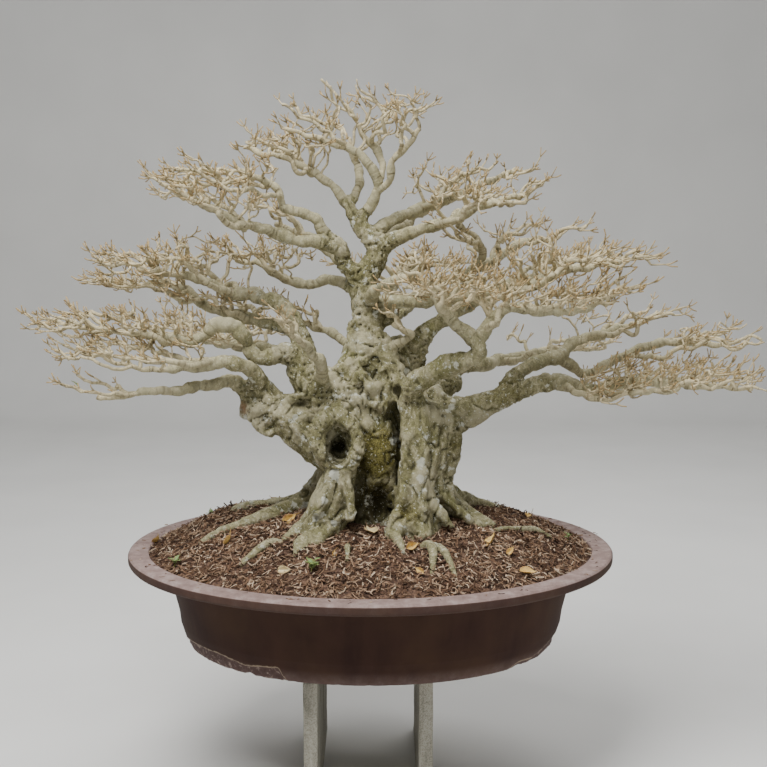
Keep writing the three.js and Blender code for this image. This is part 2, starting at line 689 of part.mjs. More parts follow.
    name: 'hind_left_low', stub: 1, rows: [
      [-60, 30, 276, 30], [-89, 70, 306, 22], [-119, 110, 332, 18], [-151, 150, 354, 15],
      [-188, 192, 369, 13], [-232, 236, 376, 11], [-279, 276, 383, 9], [-327, 310, 391, 6.5],
      [-371, 336, 394, 4],
    ], pads: [
      [-285, 290, 400, 170, 130, 36],
    ],
  },
  {
    name: 'hind_right_low', stub: 1, rows: [
      [54, 80, 276, 26], [84, 120, 298, 20], [117, 160, 317, 17], [157, 200, 332, 15],
      [205, 240, 343, 13], [260, 276, 354, 11], [319, 306, 365, 9], [377, 330, 369, 6.5],
      [428, 346, 372, 4],
    ], pads: [
      [350, 310, 380, 170, 120, 34],
    ],
  },
  {
    name: 'hind_middle', stub: 1, rows: [
      [-4, 20, 378, 20], [3, 60, 402, 16], [14, 104, 427, 14], [25, 150, 453, 12],
      [36, 196, 475, 10], [43, 240, 493, 8], [47, 280, 508, 5],
    ], pads: [
      [55, 245, 520, 150, 110, 34],
    ],
  },
  {
    name: 'hind_upper_left', stub: 1, rows: [
      [-11, 10, 493, 15], [-33, 44, 515, 12], [-59, 80, 537, 11], [-84, 116, 555, 10],
      [-113, 150, 573, 8.5], [-142, 180, 587, 7], [-167, 206, 598, 5],
    ], pads: [
      [-145, 185, 615, 120, 100, 36],
    ],
  },
  {
    name: 'hind_upper_right', stub: 1, rows: [
      [12, 8, 544, 14], [32, 40, 569, 12], [54, 74, 591, 11], [79, 106, 611, 9.5],
      [108, 136, 627, 8], [137, 162, 641, 6.5], [165, 184, 653, 4.5],
    ], pads: [
      [125, 165, 660, 110, 90, 36],
    ],
  },
  {
    name: 'fore_middle', stub: 1, rows: [
      [-8, -10, 453, 13], [3, -46, 471, 11], [21, -80, 486, 10], [43, -110, 497, 9],
      [69, -138, 506, 7.5], [90, -162, 519, 5.5],
    ], pads: [
      [75, -150, 530, 70, 90, 30],
    ],
  },
  {
    name: 'fore_left', stub: 1, rows: [
      [-97, -60, 298, 16], [-89, -92, 324, 12], [-93, -118, 346, 10], [-111, -142, 369, 9],
      [-133, -164, 387, 7.5], [-154, -184, 405, 5],
    ], pads: [
      [-145, -180, 420, 60, 60, 26],
    ],
  },
  {
    name: 'hind_apex', stub: 1, rows: [
      [-38, 14, 627, 8], [-26, 34, 652, 7.5], [-18, 52, 677, 7], [-22, 68, 701, 6],
      [-33, 82, 723, 5], [-43, 94, 740, 3.5],
    ], pads: [
      [-35, 85, 755, 100, 70, 42],
    ],
  },
];

// Seeded draws between 0 and 1.
function draws(seed) {
  let state = seed;
  return () => {
    state = (state * 16807) % 2147483647;
    return state / 2147483647;
  };
}

// Twigs grow from a bough towards buds scattered in its pads: each bud pulls the
// nearest wood, and is spent once wood reaches it.
const growth = { step: 9, reach: 11, budSpacing: 17, wander: 0.42, lift: 0.16, rounds: 60, tipRadius: 1.05 };

function scatterBuds(pads, draw) {
  const buds = [];
  for (const [u, depth, v, wide, deep, tall] of pads) {
    const centre = place(u, depth, v);
    const volume = 4.18879 * wide * deep * tall * 0.72;
    const count = Math.round(volume / (growth.budSpacing ** 3));
    for (let made = 0; made < count;) {
      const x = 2 * draw() - 1;
      const y = 2 * draw() - 1;
      const z = 2 * draw() - 1;
      if (x * x + y * y + z * z <= 1) {
        const squash = z < 0 ? 0.45 : 1;
        buds.push([centre.x + x * wide, centre.y + y * deep, centre.z + z * tall * squash]);
        made += 1;
      }
    }
  }
  return buds;
}

function growTwigs(path, pads, seed) {
  const draw = draws(seed);
  const wood = path.map(({ at, r }, i) => ({ x: at.x, y: at.y, z: at.z, parent: i - 1, pathRadius: r }));
  let buds = scatterBuds(pads, draw).map(([x, y, z]) => ({ x, y, z, near: -1, distance: Infinity }));
  let fresh = 0;
  for (let round = 0; round < growth.rounds && buds.length > 0; round += 1) {
    for (const bud of buds) {
      for (let i = fresh; i < wood.length; i += 1) {
        const dx = wood[i].x - bud.x;
        const dy = wood[i].y - bud.y;
        const dz = wood[i].z - bud.z;
        const distance = dx * dx + dy * dy + dz * dz;
        if (distance < bud.distance) {
          bud.distance = distance;
          bud.near = i;
        }
      }
    }
    buds = buds.filter((bud) => bud.distance > growth.reach * growth.reach);
    const pulls = new Map();
    for (const bud of buds) {
      const near = wood[bud.near];
      const length = Math.sqrt(bud.distance);
      const pull = pulls.get(bud.near) ?? [0, 0, 0];
      pull[0] += (bud.x - near.x) / length;
      pull[1] += (bud.y - near.y) / length;
      pull[2] += (bud.z - near.z) / length;
      pulls.set(bud.near, pull);
    }
    fresh = wood.length;
    for (const from of [...pulls.keys()].sort((a, b) => a - b)) {
      const [px, py, pz] = pulls.get(from);
      const pulled = Math.sqrt(px * px + py * py + pz * pz);
      const wx = (2 * draw() - 1) * growth.wander;
      const wy = (2 * draw() - 1) * growth.wander;
      const wz = (2 * draw() - 1) * growth.wander;
      const x = px / pulled + wx;
      const y = py / pulled + wy;
      const z = pz / pulled + wz + growth.lift;
      const length = Math.sqrt(x * x + y * y + z * z);
      if (pulled > 0.05 && length > 0.2) {
        wood.push({
          x: wood[from].x + (x / length) * growth.step,
          y: wood[from].y + (y / length) * growth.step,
          z: wood[from].z + (z / length) * growth.step,
          parent: from,
          pathRadius: 0,
        });
      }
    }
    if (wood.length === fresh) {
      break;
    }
  }
  return wood;
}

// Each fork's wood carries the sections of what grows from it. The longest way out of
// a fork goes on as the same twig, and the others start twigs of their own.
function twigsOf(wood) {
  const reach = wood.map(() => 0);
  const section = wood.map(() => 0);
  const heir = wood.map(() => -1);
  for (let i = wood.length - 1; i >= 0; i -= 1) {
    section[i] = Math.max(section[i], growth.tipRadius * growth.tipRadius);
    const { parent } = wood[i];
    if (parent >= 0) {
      section[parent] += section[i];
      if (reach[i] + 1 > reach[parent]) {
        reach[parent] = reach[i] + 1;
        heir[parent] = i;
      }
    }
  }
  const onPath = wood.map(({ pathRadius }) => pathRadius > 0);
  const twigs = [];
  for (let i = 0; i < wood.length; i += 1) {
    const { parent } = wood[i];
    if (!onPath[i] && (onPath[parent] || heir[parent] !== i)) {
      const line = [parent];
      for (let k = i; k >= 0; k = heir[k]) {
        line.push(k);
      }
      const root = onPath[parent] ? 0.72 * wood[parent].pathRadius : 0.9 * Math.sqrt(section[parent]);
      const samples = line.map((k, order) => ({
        at: new THREE.Vector3(wood[k].x, wood[k].y, wood[k].z),
        r: Math.min(root, Math.sqrt(section[order === 0 ? i : k])),
        wood: k,
      }));
      twigs.push({ samples, length: line.length, starts: parent, holds: line.slice(1) });
    }
  }
  return twigs;
}

// Shortest distance between two straight stretches of wood.
function stretchDistance(a, b, c, d) {
  const u = b.clone().sub(a);
  const v = d.clone().sub(c);
  const w = a.clone().sub(c);
  const uu = u.dot(u);
  const uv = u.dot(v);
  const vv = v.dot(v);
  const uw = u.dot(w);
  const vw = v.dot(w);
  const spread = uu * vv - uv * uv;
  let s = spread > 1e-9 ? THREE.MathUtils.clamp((uv * vw - vv * uw) / spread, 0, 1) : 0;
  const t = THREE.MathUtils.clamp(vv > 0 ? (uv * s + vw) / vv : 0, 0, 1);
  s = THREE.MathUtils.clamp(uu > 0 ? (uv * t - uw) / uu : 0, 0, 1);
  return a.clone().addScaledVector(u, s).distanceTo(c.clone().addScaledVector(v, t));
}

const stretches = [];

function claim(node, samples) {
  for (let i = 1; i < samples.length; i += 1) {
    const r = Math.max(samples[i - 1].r, samples[i].r);
    stretches.push({ node, a: samples[i - 1].at, b: samples[i].at, r });
  }
}

function isClear(node, samples, spare) {
  for (let i = 1; i < samples.length; i += 1) {
    const a = samples[i - 1].at;
    const b = samples[i].at;
    const r = Math.max(samples[i - 1].r, samples[i].r);
    for (const other of stretches) {
      if (other.node !== node && stretchDistance(a, b, other.a, other.b) < r + other.r + spare) {
        return false;
      }
    }
  }
  return true;
}

// Trunk
const trunkStep = 30;
const woodTolerance = 8;
const trunkSolids = [];
for (const rows of Object.values(woodRows)) {
  const samples = thinned(limbPath(rows, trunkStep), woodTolerance);
  trunkSolids.push(limbSolid(samples, rows[0][3] > 30 ? 8 : 6));
  claim('trunk', samples);
}
for (const rows of trunkRoots) {
  const samples = thinned(rootPath(rows, trunkStep), woodTolerance);
  trunkSolids.push(limbSolid(samples, 5));
  claim('trunk', samples);
}

const boughStep = 30;
const boughTolerance = 4;
for (const bough of boughs) {
  const samples = limbPath(bough.rows, boughStep);
  const cut = samples.findIndex(({ row }) => row >= bough.stub);
  if (cut > 0) {
    samples[cut].facing = samples[cut + 1].at.clone().sub(samples[cut - 1].at).normalize();
  }
  bough.outer = thinned(samples.slice(cut), boughTolerance);
  bough.node = `spray_${bough.partOf ?? bough.name}`;
  if (bough.stub > 0) {
    const inner = thinned(samples.slice(0, cut + 1), woodTolerance);
    trunkSolids.push(limbSolid(inner, 6));
    claim('trunk', inner);
    const seat = bough.outer[0];
    bough.outer[0] = { ...seat, at: seat.at.clone().addScaledVector(seat.facing, clearance) };
  }
}

let trunk = joined(trunkSolids);

// The knot hole in the left column, the dark hollow between the columns and the slit
// under the dead limb.
const hollows = [
  { at: place(-63, -112, 181), size: [18, 40, 25] },
  { at: place(8, -92, 95), size: [36, 46, 84] },
  { at: place(138, -16, 262), size: [26, 40, 6] },
];
for (const { at, size } of hollows) {
  const hollow = new THREE.SphereGeometry(1, 10, 6).scale(...size);
  trunk = trunk.subtract(solidOf(hollow.translate(at.x, at.y, at.z)));
}
trunk = trunk.subtract(soilCutter);
const plugTop = soilTop(plugPlace.x, plugPlace.y) + 20;
trunk = largestBody(trunk).add(
  cylinderDown(plugRadius, plugDepth + 20, plugPlace.x, plugPlace.y, plugTop, 16),
);
addPiece('trunk', geometryOf(trunk), colours.bark);

for (const [name, branches] of Object.entries(looseRoots)) {
  const solids = branches.map((rows) => limbSolid(rootPath(rows, 30), 6));
  addPiece(name, geometryOf(largestBody(joined(solids).subtract(soilCutter))), colours.bark);
}

// Sprays: every bough with its longest and furthest-reaching twigs
const twigRule = { most: 8, shortest: 5, outward: 0.05, tolerance: 12, spare: 1.5, leastRadius: 1.2 };

const sprays = new Map();
for (const bough of boughs) {
  const sides = bough.outer[0].r > 9 ? 6 : 5;
  const limbs = sprays.get(bough.node) ?? [];
  limbs.push(limbSolid(bough.outer, sides));
  sprays.set(bough.node, limbs);
  claim(bough.node, bough.outer);
}

boughs.forEach((bough, order) => {
  const path = limbPath(bough.rows, growth.step).filter(({ row }) => row >= bough.stub);
  const twigs = twigsOf(growTwigs(path.slice(3), bough.pads, 4001 + 37 * order));
  const base = path[0].at;
  for (const twig of twigs) {
    twig.worth = twig.length + twigRule.outward * twig.samples[twig.length - 1].at.distanceTo(base);
  }
  twigs.sort((a, b) => b.worth - a.worth);
  const held = new Set(path.map((_, i) => i));
  let made = 0;
  for (const twig of twigs) {
    if (made >= twigRule.most) {
      break;
    }
    const samples = thinned(twig.samples, twigRule.tolerance);
    for (const sample of samples) {
      sample.r = Math.max(sample.r, twigRule.leastRadius);
    }
    const grounded = twig.length >= twigRule.shortest && held.has(twig.starts);
    if (grounded && isClear(bough.node, samples, twigRule.spare)) {
      sprays.get(bough.node).push(limbSolid(samples, 3, true));
      claim(bough.node, samples);
      twig.holds.forEach((k) => held.add(k));
      made += 1;
    }
  }
});

for (const [name, solids] of sprays) {
  addPiece(name, geometryOf(largestBody(joined(solids))), colours.twig);
}

// Fallen leaves: thin, folded along the rib and curled up at both ends
const leaf = { length: 27, width: 14, thickness: 0.8, lengthSteps: 4, widthSteps: 2 };

function leafGeometry(x, y, turn, size, curl, lay) {
  const geometry = new THREE.BoxGeometry(1, 1, 1, leaf.lengthSteps, leaf.widthSteps, 1);
  const position = geometry.attributes.position;
  for (let i = 0; i < position.count; i += 1) {
    const along = position.getX(i) * 2;
    const outline = Math.max(0.12, 1 - along * along * (1 - 0.2 * along));
    const side = position.getY(i) * 2 * outline;
    const px = along * leaf.length * 0.5 * size;
    const py = side * leaf.width * 0.5 * size;
    const wx = x + px * Math.cos(turn) - py * Math.sin(turn);
    const wy = y + px * Math.sin(turn) + py * Math.cos(turn);
    const rise = curl * (along * along * 4 + Math.abs(side) * 2.2);
    position.setXYZ(i, wx, wy, soilTop(wx, wy) + lay + rise + (position.getZ(i) + 0.5) * leaf.thickness);
  }
  return geometry;
}

// Lowered until it all but touches the mound.
function settled(geometry) {
  const dropStep = 0.2;
  let resting = solidOf(geometry);
  for (let lowered = resting; lowered.intersect(soilCutter).volume() < 0.01;) {
    resting = lowered;
    geometry.translate(0, 0, -dropStep);
    lowered = solidOf(geometry);
  }
  return resting;
}

const fallenLeaves = [
  [0, -128, 0.1, 1.5, 0.8], [-148, -40, 0.9, 1.1, 1.2], [215, -139, -0.4, 1.3, 0.9],
  [270, -214, -0.7, 1.1, 1.1], [72, -190, 0.5, 0.9, 1.3], [-250, -118, 1.9, 1.0, 1.2],
];
fallenLeaves.forEach(([x, y, turn, size, curl], i) => {
  const blade = settled(leafGeometry(x, y, turn, size, curl, 5));
  addPiece(`fallen_leaf_${i + 1}`, geometryOf(blade), colours.fallenLeaf);
});

// Seedlings: a short stem with four small blades
const seedlings = { seedling_front: [-98, -252, 1], seedling_left: [-345, -150, 0.8] };
for (const [name, [x, y, size]] of Object.entries(seedlings)) {
  const top = soilTop(x, y) + 15 * size;
  const stem = [[x, y, top - 22 * size], [x + 2, y, top - 8 * size], [x + 3, y + 1, top]];
  const stemSamples = stem.map(([sx, sy, sz]) => ({ at: new THREE.Vector3(sx, sy, sz), r: 1.4 }));
  const solids = [limbSolid(stemSamples, 5)];
  for (let i = 0; i < 4; i += 1) {
    const turn = i * 2.399;
    const tilt = 0.5 + 0.15 * (i % 3);
    const blade = new THREE.BoxGeometry(14 * size, 7 * size, 0.9, 4, 1, 1);
    const position = blade.attributes.position;
    for (let k = 0; k < position.count; k += 1) {
      const along = position.getX(k) / (7 * size);
      position.setY(k, position.getY(k) * Math.max(0.15, 1 - along * along));
      position.setZ(k, position.getZ(k) - 1.6 * along * along * size);
    }
    blade.translate(7.5 * size, 0, 0).rotateY(-tilt).rotateZ(turn);
    solids.push(solidOf(blade.translate(x + 3, y + 1, top - 1.5 - i * 1.1 * size)));
  }
  addPiece(name, geometryOf(largestBody(joined(solids).subtract(soilCutter))), colours.greenLeaf);
}

// The origin is the middle of the underside of the whole.
bonsai.updateMatrixWorld(true);
const bounds = new THREE.Box3().setFromObject(bonsai, true);
bonsai.position.set(-(bounds.min.x + bounds.max.x) / 2, -(bounds.min.y + bounds.max.y) / 2, -bounds.min.z);
bonsai.updateMatrixWorld(true);

export default bonsai;
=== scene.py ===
"""A leafless fig bonsai in an oval clay pot on a low concrete stand."""
import math
from collections import namedtuple
from functools import partial

import bmesh
import bpy
import numpy as np
from bpy.props import FloatProperty, FloatVectorProperty, IntProperty, PointerProperty
from mathutils import Euler, Matrix, Vector, noise
from mathutils.kdtree import KDTree


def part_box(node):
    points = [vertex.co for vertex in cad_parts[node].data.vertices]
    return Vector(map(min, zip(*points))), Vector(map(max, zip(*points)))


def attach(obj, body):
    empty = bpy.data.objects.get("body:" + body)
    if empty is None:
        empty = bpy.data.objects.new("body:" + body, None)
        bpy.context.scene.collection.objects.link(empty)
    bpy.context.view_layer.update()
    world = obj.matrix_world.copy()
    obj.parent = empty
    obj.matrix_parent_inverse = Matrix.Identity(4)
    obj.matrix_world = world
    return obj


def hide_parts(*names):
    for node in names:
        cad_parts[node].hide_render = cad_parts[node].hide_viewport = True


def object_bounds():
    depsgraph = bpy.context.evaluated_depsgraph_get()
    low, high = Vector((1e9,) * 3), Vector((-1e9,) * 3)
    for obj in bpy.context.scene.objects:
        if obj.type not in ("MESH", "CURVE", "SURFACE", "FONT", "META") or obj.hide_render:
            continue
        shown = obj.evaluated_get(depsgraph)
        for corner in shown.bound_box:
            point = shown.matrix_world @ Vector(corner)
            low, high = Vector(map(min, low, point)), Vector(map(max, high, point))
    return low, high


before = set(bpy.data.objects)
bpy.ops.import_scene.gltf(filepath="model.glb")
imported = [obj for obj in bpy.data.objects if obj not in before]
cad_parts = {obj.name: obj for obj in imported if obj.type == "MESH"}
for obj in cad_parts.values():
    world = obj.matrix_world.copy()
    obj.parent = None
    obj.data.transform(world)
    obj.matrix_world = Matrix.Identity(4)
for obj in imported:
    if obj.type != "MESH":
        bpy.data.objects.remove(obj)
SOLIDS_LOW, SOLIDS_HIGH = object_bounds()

bl_info = {
    "name": "Fig bonsai",
    "version": (1, 0, 0),
    "blender": (4, 5, 0),
    "location": "3D View > Sidebar > Bonsai",
    "description": "Builds a leafless fig bonsai, its pot and its stand, piece by piece",
    "category": "Add Mesh",
}

MM = 0.001

# Blender starts its noise vectors from the clock unless they are given a seed.
NOISE_SEED = 1795623939
noise.seed_set(NOISE_SEED)


def linear(hex_colour):
    """An sRGB hex colour as linear red, green, blue and alpha."""
    parts = [int(hex_colour[i:i + 2], 16) / 255 for i in (1, 3, 5)]
    return [*(p / 12.92 if p <= 0.04045 else ((p + 0.055) / 1.055) ** 2.4 for p in parts), 1.0]


# The middle of the pot's lip is the place that all heights and distances are counted from.
POT_LOW, POT_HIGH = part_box("pot")
HOME = Vector(((POT_LOW.x + POT_HIGH.x) / 2, (POT_LOW.y + POT_HIGH.y) / 2, POT_HIGH.z))
HOME_SPOT = np.array(HOME)
POT_HALF_WIDTH = (POT_HIGH.x - POT_LOW.x) / 2 / MM
POT_HALF_DEPTH = (POT_HIGH.y - POT_LOW.y) / 2 / MM


def at_home(x, y, z):
    """A point in metres from millimetres counted from the middle of the lip."""
    return Vector((x * MM, y * MM, z * MM)) + HOME


def length_property(label, words, metres):
    return FloatProperty(name=label, description=words, default=metres, unit="LENGTH", subtype="DISTANCE")


class PotSizes(bpy.types.PropertyGroup):
    lip_width: length_property("Lip width", "Width of the flat lip", 0.037)
    lip_thickness: length_property("Lip thickness", "Height of the lip's outer band", 0.019)
    edge_round: length_property("Edge round", "Rounding of the pot's fired edges", 0.003)
    turns: IntProperty(name="Facets round", description="Facets round the pot", default=240, min=32)


class TreeSizes(bpy.types.PropertyGroup):
    wood_mesh: length_property("Trunk mesh", "Edge length of the trunk's mesh", 0.0029)
    relief: length_property("Bark relief", "Height of the bark's lumps and folds", 0.0034)
    bark_cover: length_property("Twig bark", "Bark that thickens each twig", 0.0007)
    shoot_length: length_property("Shoot length", "Length of the shoots at the twigs' ends", 0.021)
    shoot_gap: length_property("Shoot gap", "Distance between the side twigs along a twig", 0.031)
    shortest_twig: IntProperty(
        name="Shortest twig", description="Points of the shortest grown twig that is drawn", default=7, min=2)
    long_twig: IntProperty(
        name="Long twig", description="Points from which every grown twig is drawn", default=20, min=2)
    melt: length_property("Fused wood", "How far the bark between touching columns is filled", 0.0036)


class MulchSizes(bpy.types.PropertyGroup):
    shreds: IntProperty(name="Shreds", description="Number of bark shreds", default=15000, min=100)
    shred_length: length_property("Shred length", "Middle length of a bark shred", 0.0145)
    shred_width: length_property("Shred width", "Middle width of a bark shred", 0.003)


class StandSizes(bpy.types.PropertyGroup):
    edge_wear: length_property("Edge wear", "Rounding of the concrete's worn edges", 0.0025)


def colour_property(label, words, hex_colour):
    return FloatVectorProperty(
        name=label, description=words, default=linear(hex_colour), size=4, min=0, max=1, subtype="COLOR")


class Finishes(bpy.types.PropertyGroup):
    # Pale bark is also the painted highlight on the knobs' tops and the crests.
    bark_pale: colour_property("Pale bark", "Weathered bark where it is driest", "#CBC3A5")
    bark_olive: colour_property("Olive bark", "Bark with a film of algae", "#89845F")
    # Painted shade: the colour that the bark's creases, hollows and shaded places between the columns are darkened
    # to.
    bark_shade: colour_property("Bark folds", "Bottom of the bark's folds", "#38341F")
    twig_tan: colour_property("Twig", "Young bark", "#D3C49F")
    twig_tip: colour_property("Twig tip", "Newest shoots", "#B2925F")
    moss: colour_property("Moss", "Moss between the columns", "#625A24")
    lichen: colour_property("Lichen", "Lichen spots", "#D9DACB")
    clay_body: colour_property("Clay wall", "Fired clay of the wall", "#38231B")
    clay_lip: colour_property("Clay lip", "Weathered clay of the lip", "#8E7A74")
    mulch_dark: colour_property("Dark mulch", "Darkest bark shreds", "#2E2019")
    mulch_light: colour_property("Pale mulch", "Palest bark shreds", "#B29579")
    concrete: colour_property("Concrete", "Weathered cast concrete", "#A8A496")
    leaf_fallen: colour_property("Fallen leaf", "Dry yellow leaf", "#E2BE6A")
    leaf_green: colour_property("Green leaf", "Fresh seedling leaf", "#708A55")


class FigBonsaiSettings(bpy.types.PropertyGroup):
    pot: PointerProperty(type=PotSizes)
    tree: PointerProperty(type=TreeSizes)
    mulch: PointerProperty(type=MulchSizes)
    stand: PointerProperty(type=StandSizes)
    finishes: PointerProperty(type=Finishes)


def settings():
    return bpy.context.scene.fig_bonsai


def join(value, socket):
    """Gives a socket a value, a hex colour, another socket or a node's main output."""
    if isinstance(value, bpy.types.Node):
        value = value.outputs[2 if value.bl_idname == "ShaderNodeMix" else 0]
    if isinstance(value, bpy.types.NodeSocket):
        socket.id_data.links.new(value, socket)
    else:
        socket.default_value = linear(value) if isinstance(value, str) else value


def add_node(tree, kind, inputs, stops=(), **values):
    """Adds a shader node with its settings, what goes into it and the stops of its ramp."""
    made = tree.nodes.new("ShaderNode" + kind)
    for name, value in values.items():
        setattr(made, name, value)
    for name, value in inputs.items():
        join(value, made.inputs[name])
    for k, (place, colour) in enumerate(stops):
        ramp = made.color_ramp.elements
        element = ramp[k] if k < 2 else ramp.new(1.0)
        element.position = place
        element.color = linear(colour) if isinstance(colour, str) else colour
    return made


WHITE = "#FFFFFF"


def new_material(name):
    """A material, what adds a node to it, and the object's own coordinates in metres."""
    material = bpy.data.materials.new(name)
    material.use_nodes = True
    material.node_tree.nodes.clear()
    add = partial(add_node, material.node_tree)
    return material, add, add("TexCoord", {}).outputs["Object"]


def surfaced(material, inputs):
    """The material with the surface that these inputs give it."""
    shader = add_node(material.node_tree, "BsdfPrincipled", inputs)
    add_node(material.node_tree, "OutputMaterial", {"Surface": shader})
    return material


def bark_material(name):
    """Living fig bark: thin, knobbly and grey-beige on old wood, wrinkled across the limb on young
    wood, olive where algae grow, with chalky lichen; the eye reads it by the pale knobs, bleached and lit
    by a painted highlight, the creases darkened by painted shade, and the cream twigs with their orange-brown ends."""
    finish = settings().finishes
    material, add, here = new_material(name)
    along, girth, moss, fold, crest, cut_wood, rosette = (
        add("Attribute", {}, attribute_name=share).outputs["Fac"]
        for share in ("along", "girth", "moss", "fold", "crest", "cut_wood", "rosette"))
    old_wood = add("MapRange", {"Value": girth, "From Min": 0.4, "From Max": 0.9}).outputs["Result"]

    # Knobs of 8 to 12 mm, half as long again upright: algae lie between them; the same noise paints shade in their
    # low parts and a highlight on their pale tops.
    upright = add("Mapping", {"Vector": here, "Scale": (1.0, 1.0, 0.6)})
    knobs = add("TexNoise", {"Vector": upright, "Scale": 105.0, "Detail": 7.0, "Roughness": 0.68, "Distortion": 0.6})
    ground = add("ValToRGB", {"Fac": knobs}, stops=[
        (0.31, "#69644A"), (0.46, finish.bark_olive), (0.57, "#A39D79"), (0.68, finish.bark_pale)])

    # Algae tint whole sides of the old wood, over 100 mm and more.
    algae = add("TexNoise", {"Vector": here, "Scale": 10.0, "Detail": 5.0, "Roughness": 0.6})
    algae_share = add("MapRange", {"Value": algae, "From Min": 0.46, "From Max": 0.64, "To Max": 0.55})
    green = add("Math", {0: algae_share, 1: old_wood}, operation="MULTIPLY")
    tinted = add("Mix", {"Factor": green, 6: ground, 7: "#7C7B48"}, data_type="RGBA")

    # Wrinkles stand about 6 mm apart along the young limbs; each runs only part of the way round.
    wander = add("TexNoise", {"Vector": here, "Scale": 60.0, "Detail": 3.0})
    shifted = add("Math", {0: wander, 1: 0.016, 2: along}, operation="MULTIPLY_ADD")
    rings = add("TexNoise", {"W": shifted, "Scale": 170.0, "Detail": 2.0, "Roughness": 0.5}, noise_dimensions="1D")
    ring_line = add("ValToRGB", {"Fac": rings}, stops=[(0.36, "#8C826A"), (0.49, WHITE)])
    ring_part = add("MapRange", {"Value": wander, "From Min": 0.4, "From Max": 0.62, "To Min": 0.7, "To Max": 0.05})
    ring_young = add("MapRange", {"Value": old_wood, "From Min": 0.0, "From Max": 1.0, "To Min": 1.0, "To Max": 0.1})
    ring_share = add("Math", {0: ring_part, 1: ring_young}, operation="MULTIPLY")
    # Pits and grain of 1 to 3 mm, drawn a little coarse so that they show.
    grain = add("TexNoise", {"Vector": here, "Scale": 400.0, "Detail": 3.0, "Roughness": 0.7})
    grain_tone = add("ValToRGB", {"Fac": grain}, stops=[(0.34, "#8B836E"), (0.52, WHITE)])
    grained = add("Mix", {"Factor": 0.6, 6: tinted, 7: grain_tone}, data_type="RGBA", blend_type="MULTIPLY")

    # Wood thinner than 12 mm across is cream, and the newest shoots are orange-brown.
    young = add("ValToRGB", {"Fac": girth}, stops=[
        (0.05, finish.twig_tip), (0.075, finish.twig_tan), (0.4, "#C9C1A2")])
    youth = add("MapRange", {"Value": girth, "From Min": 0.12, "From Max": 0.8, "To Min": 0.85, "To Max": 0.0})
    smooth_bark = add("Mix", {"Factor": youth, 6: grained, 7: young}, data_type="RGBA")
    aged = add("Mix", {"Factor": ring_share, 6: smooth_bark, 7: ring_line}, data_type="RGBA", blend_type="MULTIPLY")

    # Crests are rubbed and bleached, and the same share paints a highlight on them.
    bleach_and_highlight = add("Math", {0: crest, 1: 0.5}, operation="MULTIPLY")
    bleached = add("Mix", {"Factor": bleach_and_highlight, 6: aged, 7: finish.bark_pale}, data_type="RGBA")

    # Moss fills the shaded hollows, broken up over 10 to 20 mm.
    tufts = add("TexNoise", {"Vector": here, "Scale": 75.0, "Detail": 5.0, "Roughness": 0.7})
    moss_raw = add("Math", {0: tufts, 1: 1.2, 2: moss}, operation="MULTIPLY_ADD")
    moss_share = add("MapRange", {"Value": moss_raw, "From Min": 0.78, "From Max": 1.2, "To Max": 0.9})
    moss_tone = add("ValToRGB", {"Fac": grain}, stops=[(0.36, "#332E12"), (0.5, finish.moss), (0.66, "#8E8648")])
    mossed = add("Mix", {"Factor": moss_share, 6: bleached, 7: moss_tone}, data_type="RGBA")

    # Painted shade: the fold share darkens the creases, the hollows and the shaded places between the columns.
    shaded = add("Mix", {"Factor": fold, 6: mossed, 7: finish.bark_shade}, data_type="RGBA")

    # Lichen: blotches of 10 to 30 mm in patches and specks of 3 mm, on old wood only.
    spots = add("TexNoise", {"Vector": here, "Scale": 40.0, "Detail": 7.0, "Roughness": 0.72})
    spot_edge = add("MapRange", {"Value": spots, "From Min": 0.585, "From Max": 0.63, "To Max": 0.85})
    specks = add("TexNoise", {"Vector": here, "Scale": 210.0, "Detail": 3.0, "Roughness": 0.6})
    speck_edge = add("MapRange", {"Value": specks, "From Min": 0.63, "From Max": 0.66, "To Max": 0.7})
    chalky = add("Math", {0: spot_edge, 1: speck_edge}, operation="MAXIMUM")
    lichen_share = add("Math", {0: chalky, 1: old_wood}, operation="MULTIPLY")
    rosette_raw = add("Math", {0: spots, 1: 3.0, 2: rosette}, operation="MULTIPLY_ADD")
    rosette_edge = add("MapRange", {"Value": rosette_raw, "From Min": 2.2, "From Max": 2.36, "To Max": 0.6})
    lichen_all = add("Math", {0: lichen_share, 1: rosette_edge}, operation="MAXIMUM")
    spotted = add("Mix", {"Factor": lichen_all, 6: shaded, 7: finish.lichen}, data_type="RGBA")
    scarred = add("Mix", {"Factor": cut_wood, 6: spotted, 7: "#96694A"}, data_type="RGBA")

    knob_bump = add("Bump", {"Height": knobs, "Strength": old_wood, "Distance": 0.006})
    ring_bump = add("Bump", {"Height": rings, "Strength": ring_share, "Distance": 0.004, "Normal": knob_bump})
    grain_bump = add("Bump", {"Height": grain, "Strength": 0.8, "Distance": 0.0018, "Normal": ring_bump})
    return surfaced(material, {
        "Base Color": scarred, "Roughness": 0.86, "Specular IOR Level": 0.25, "Normal": grain_bump})


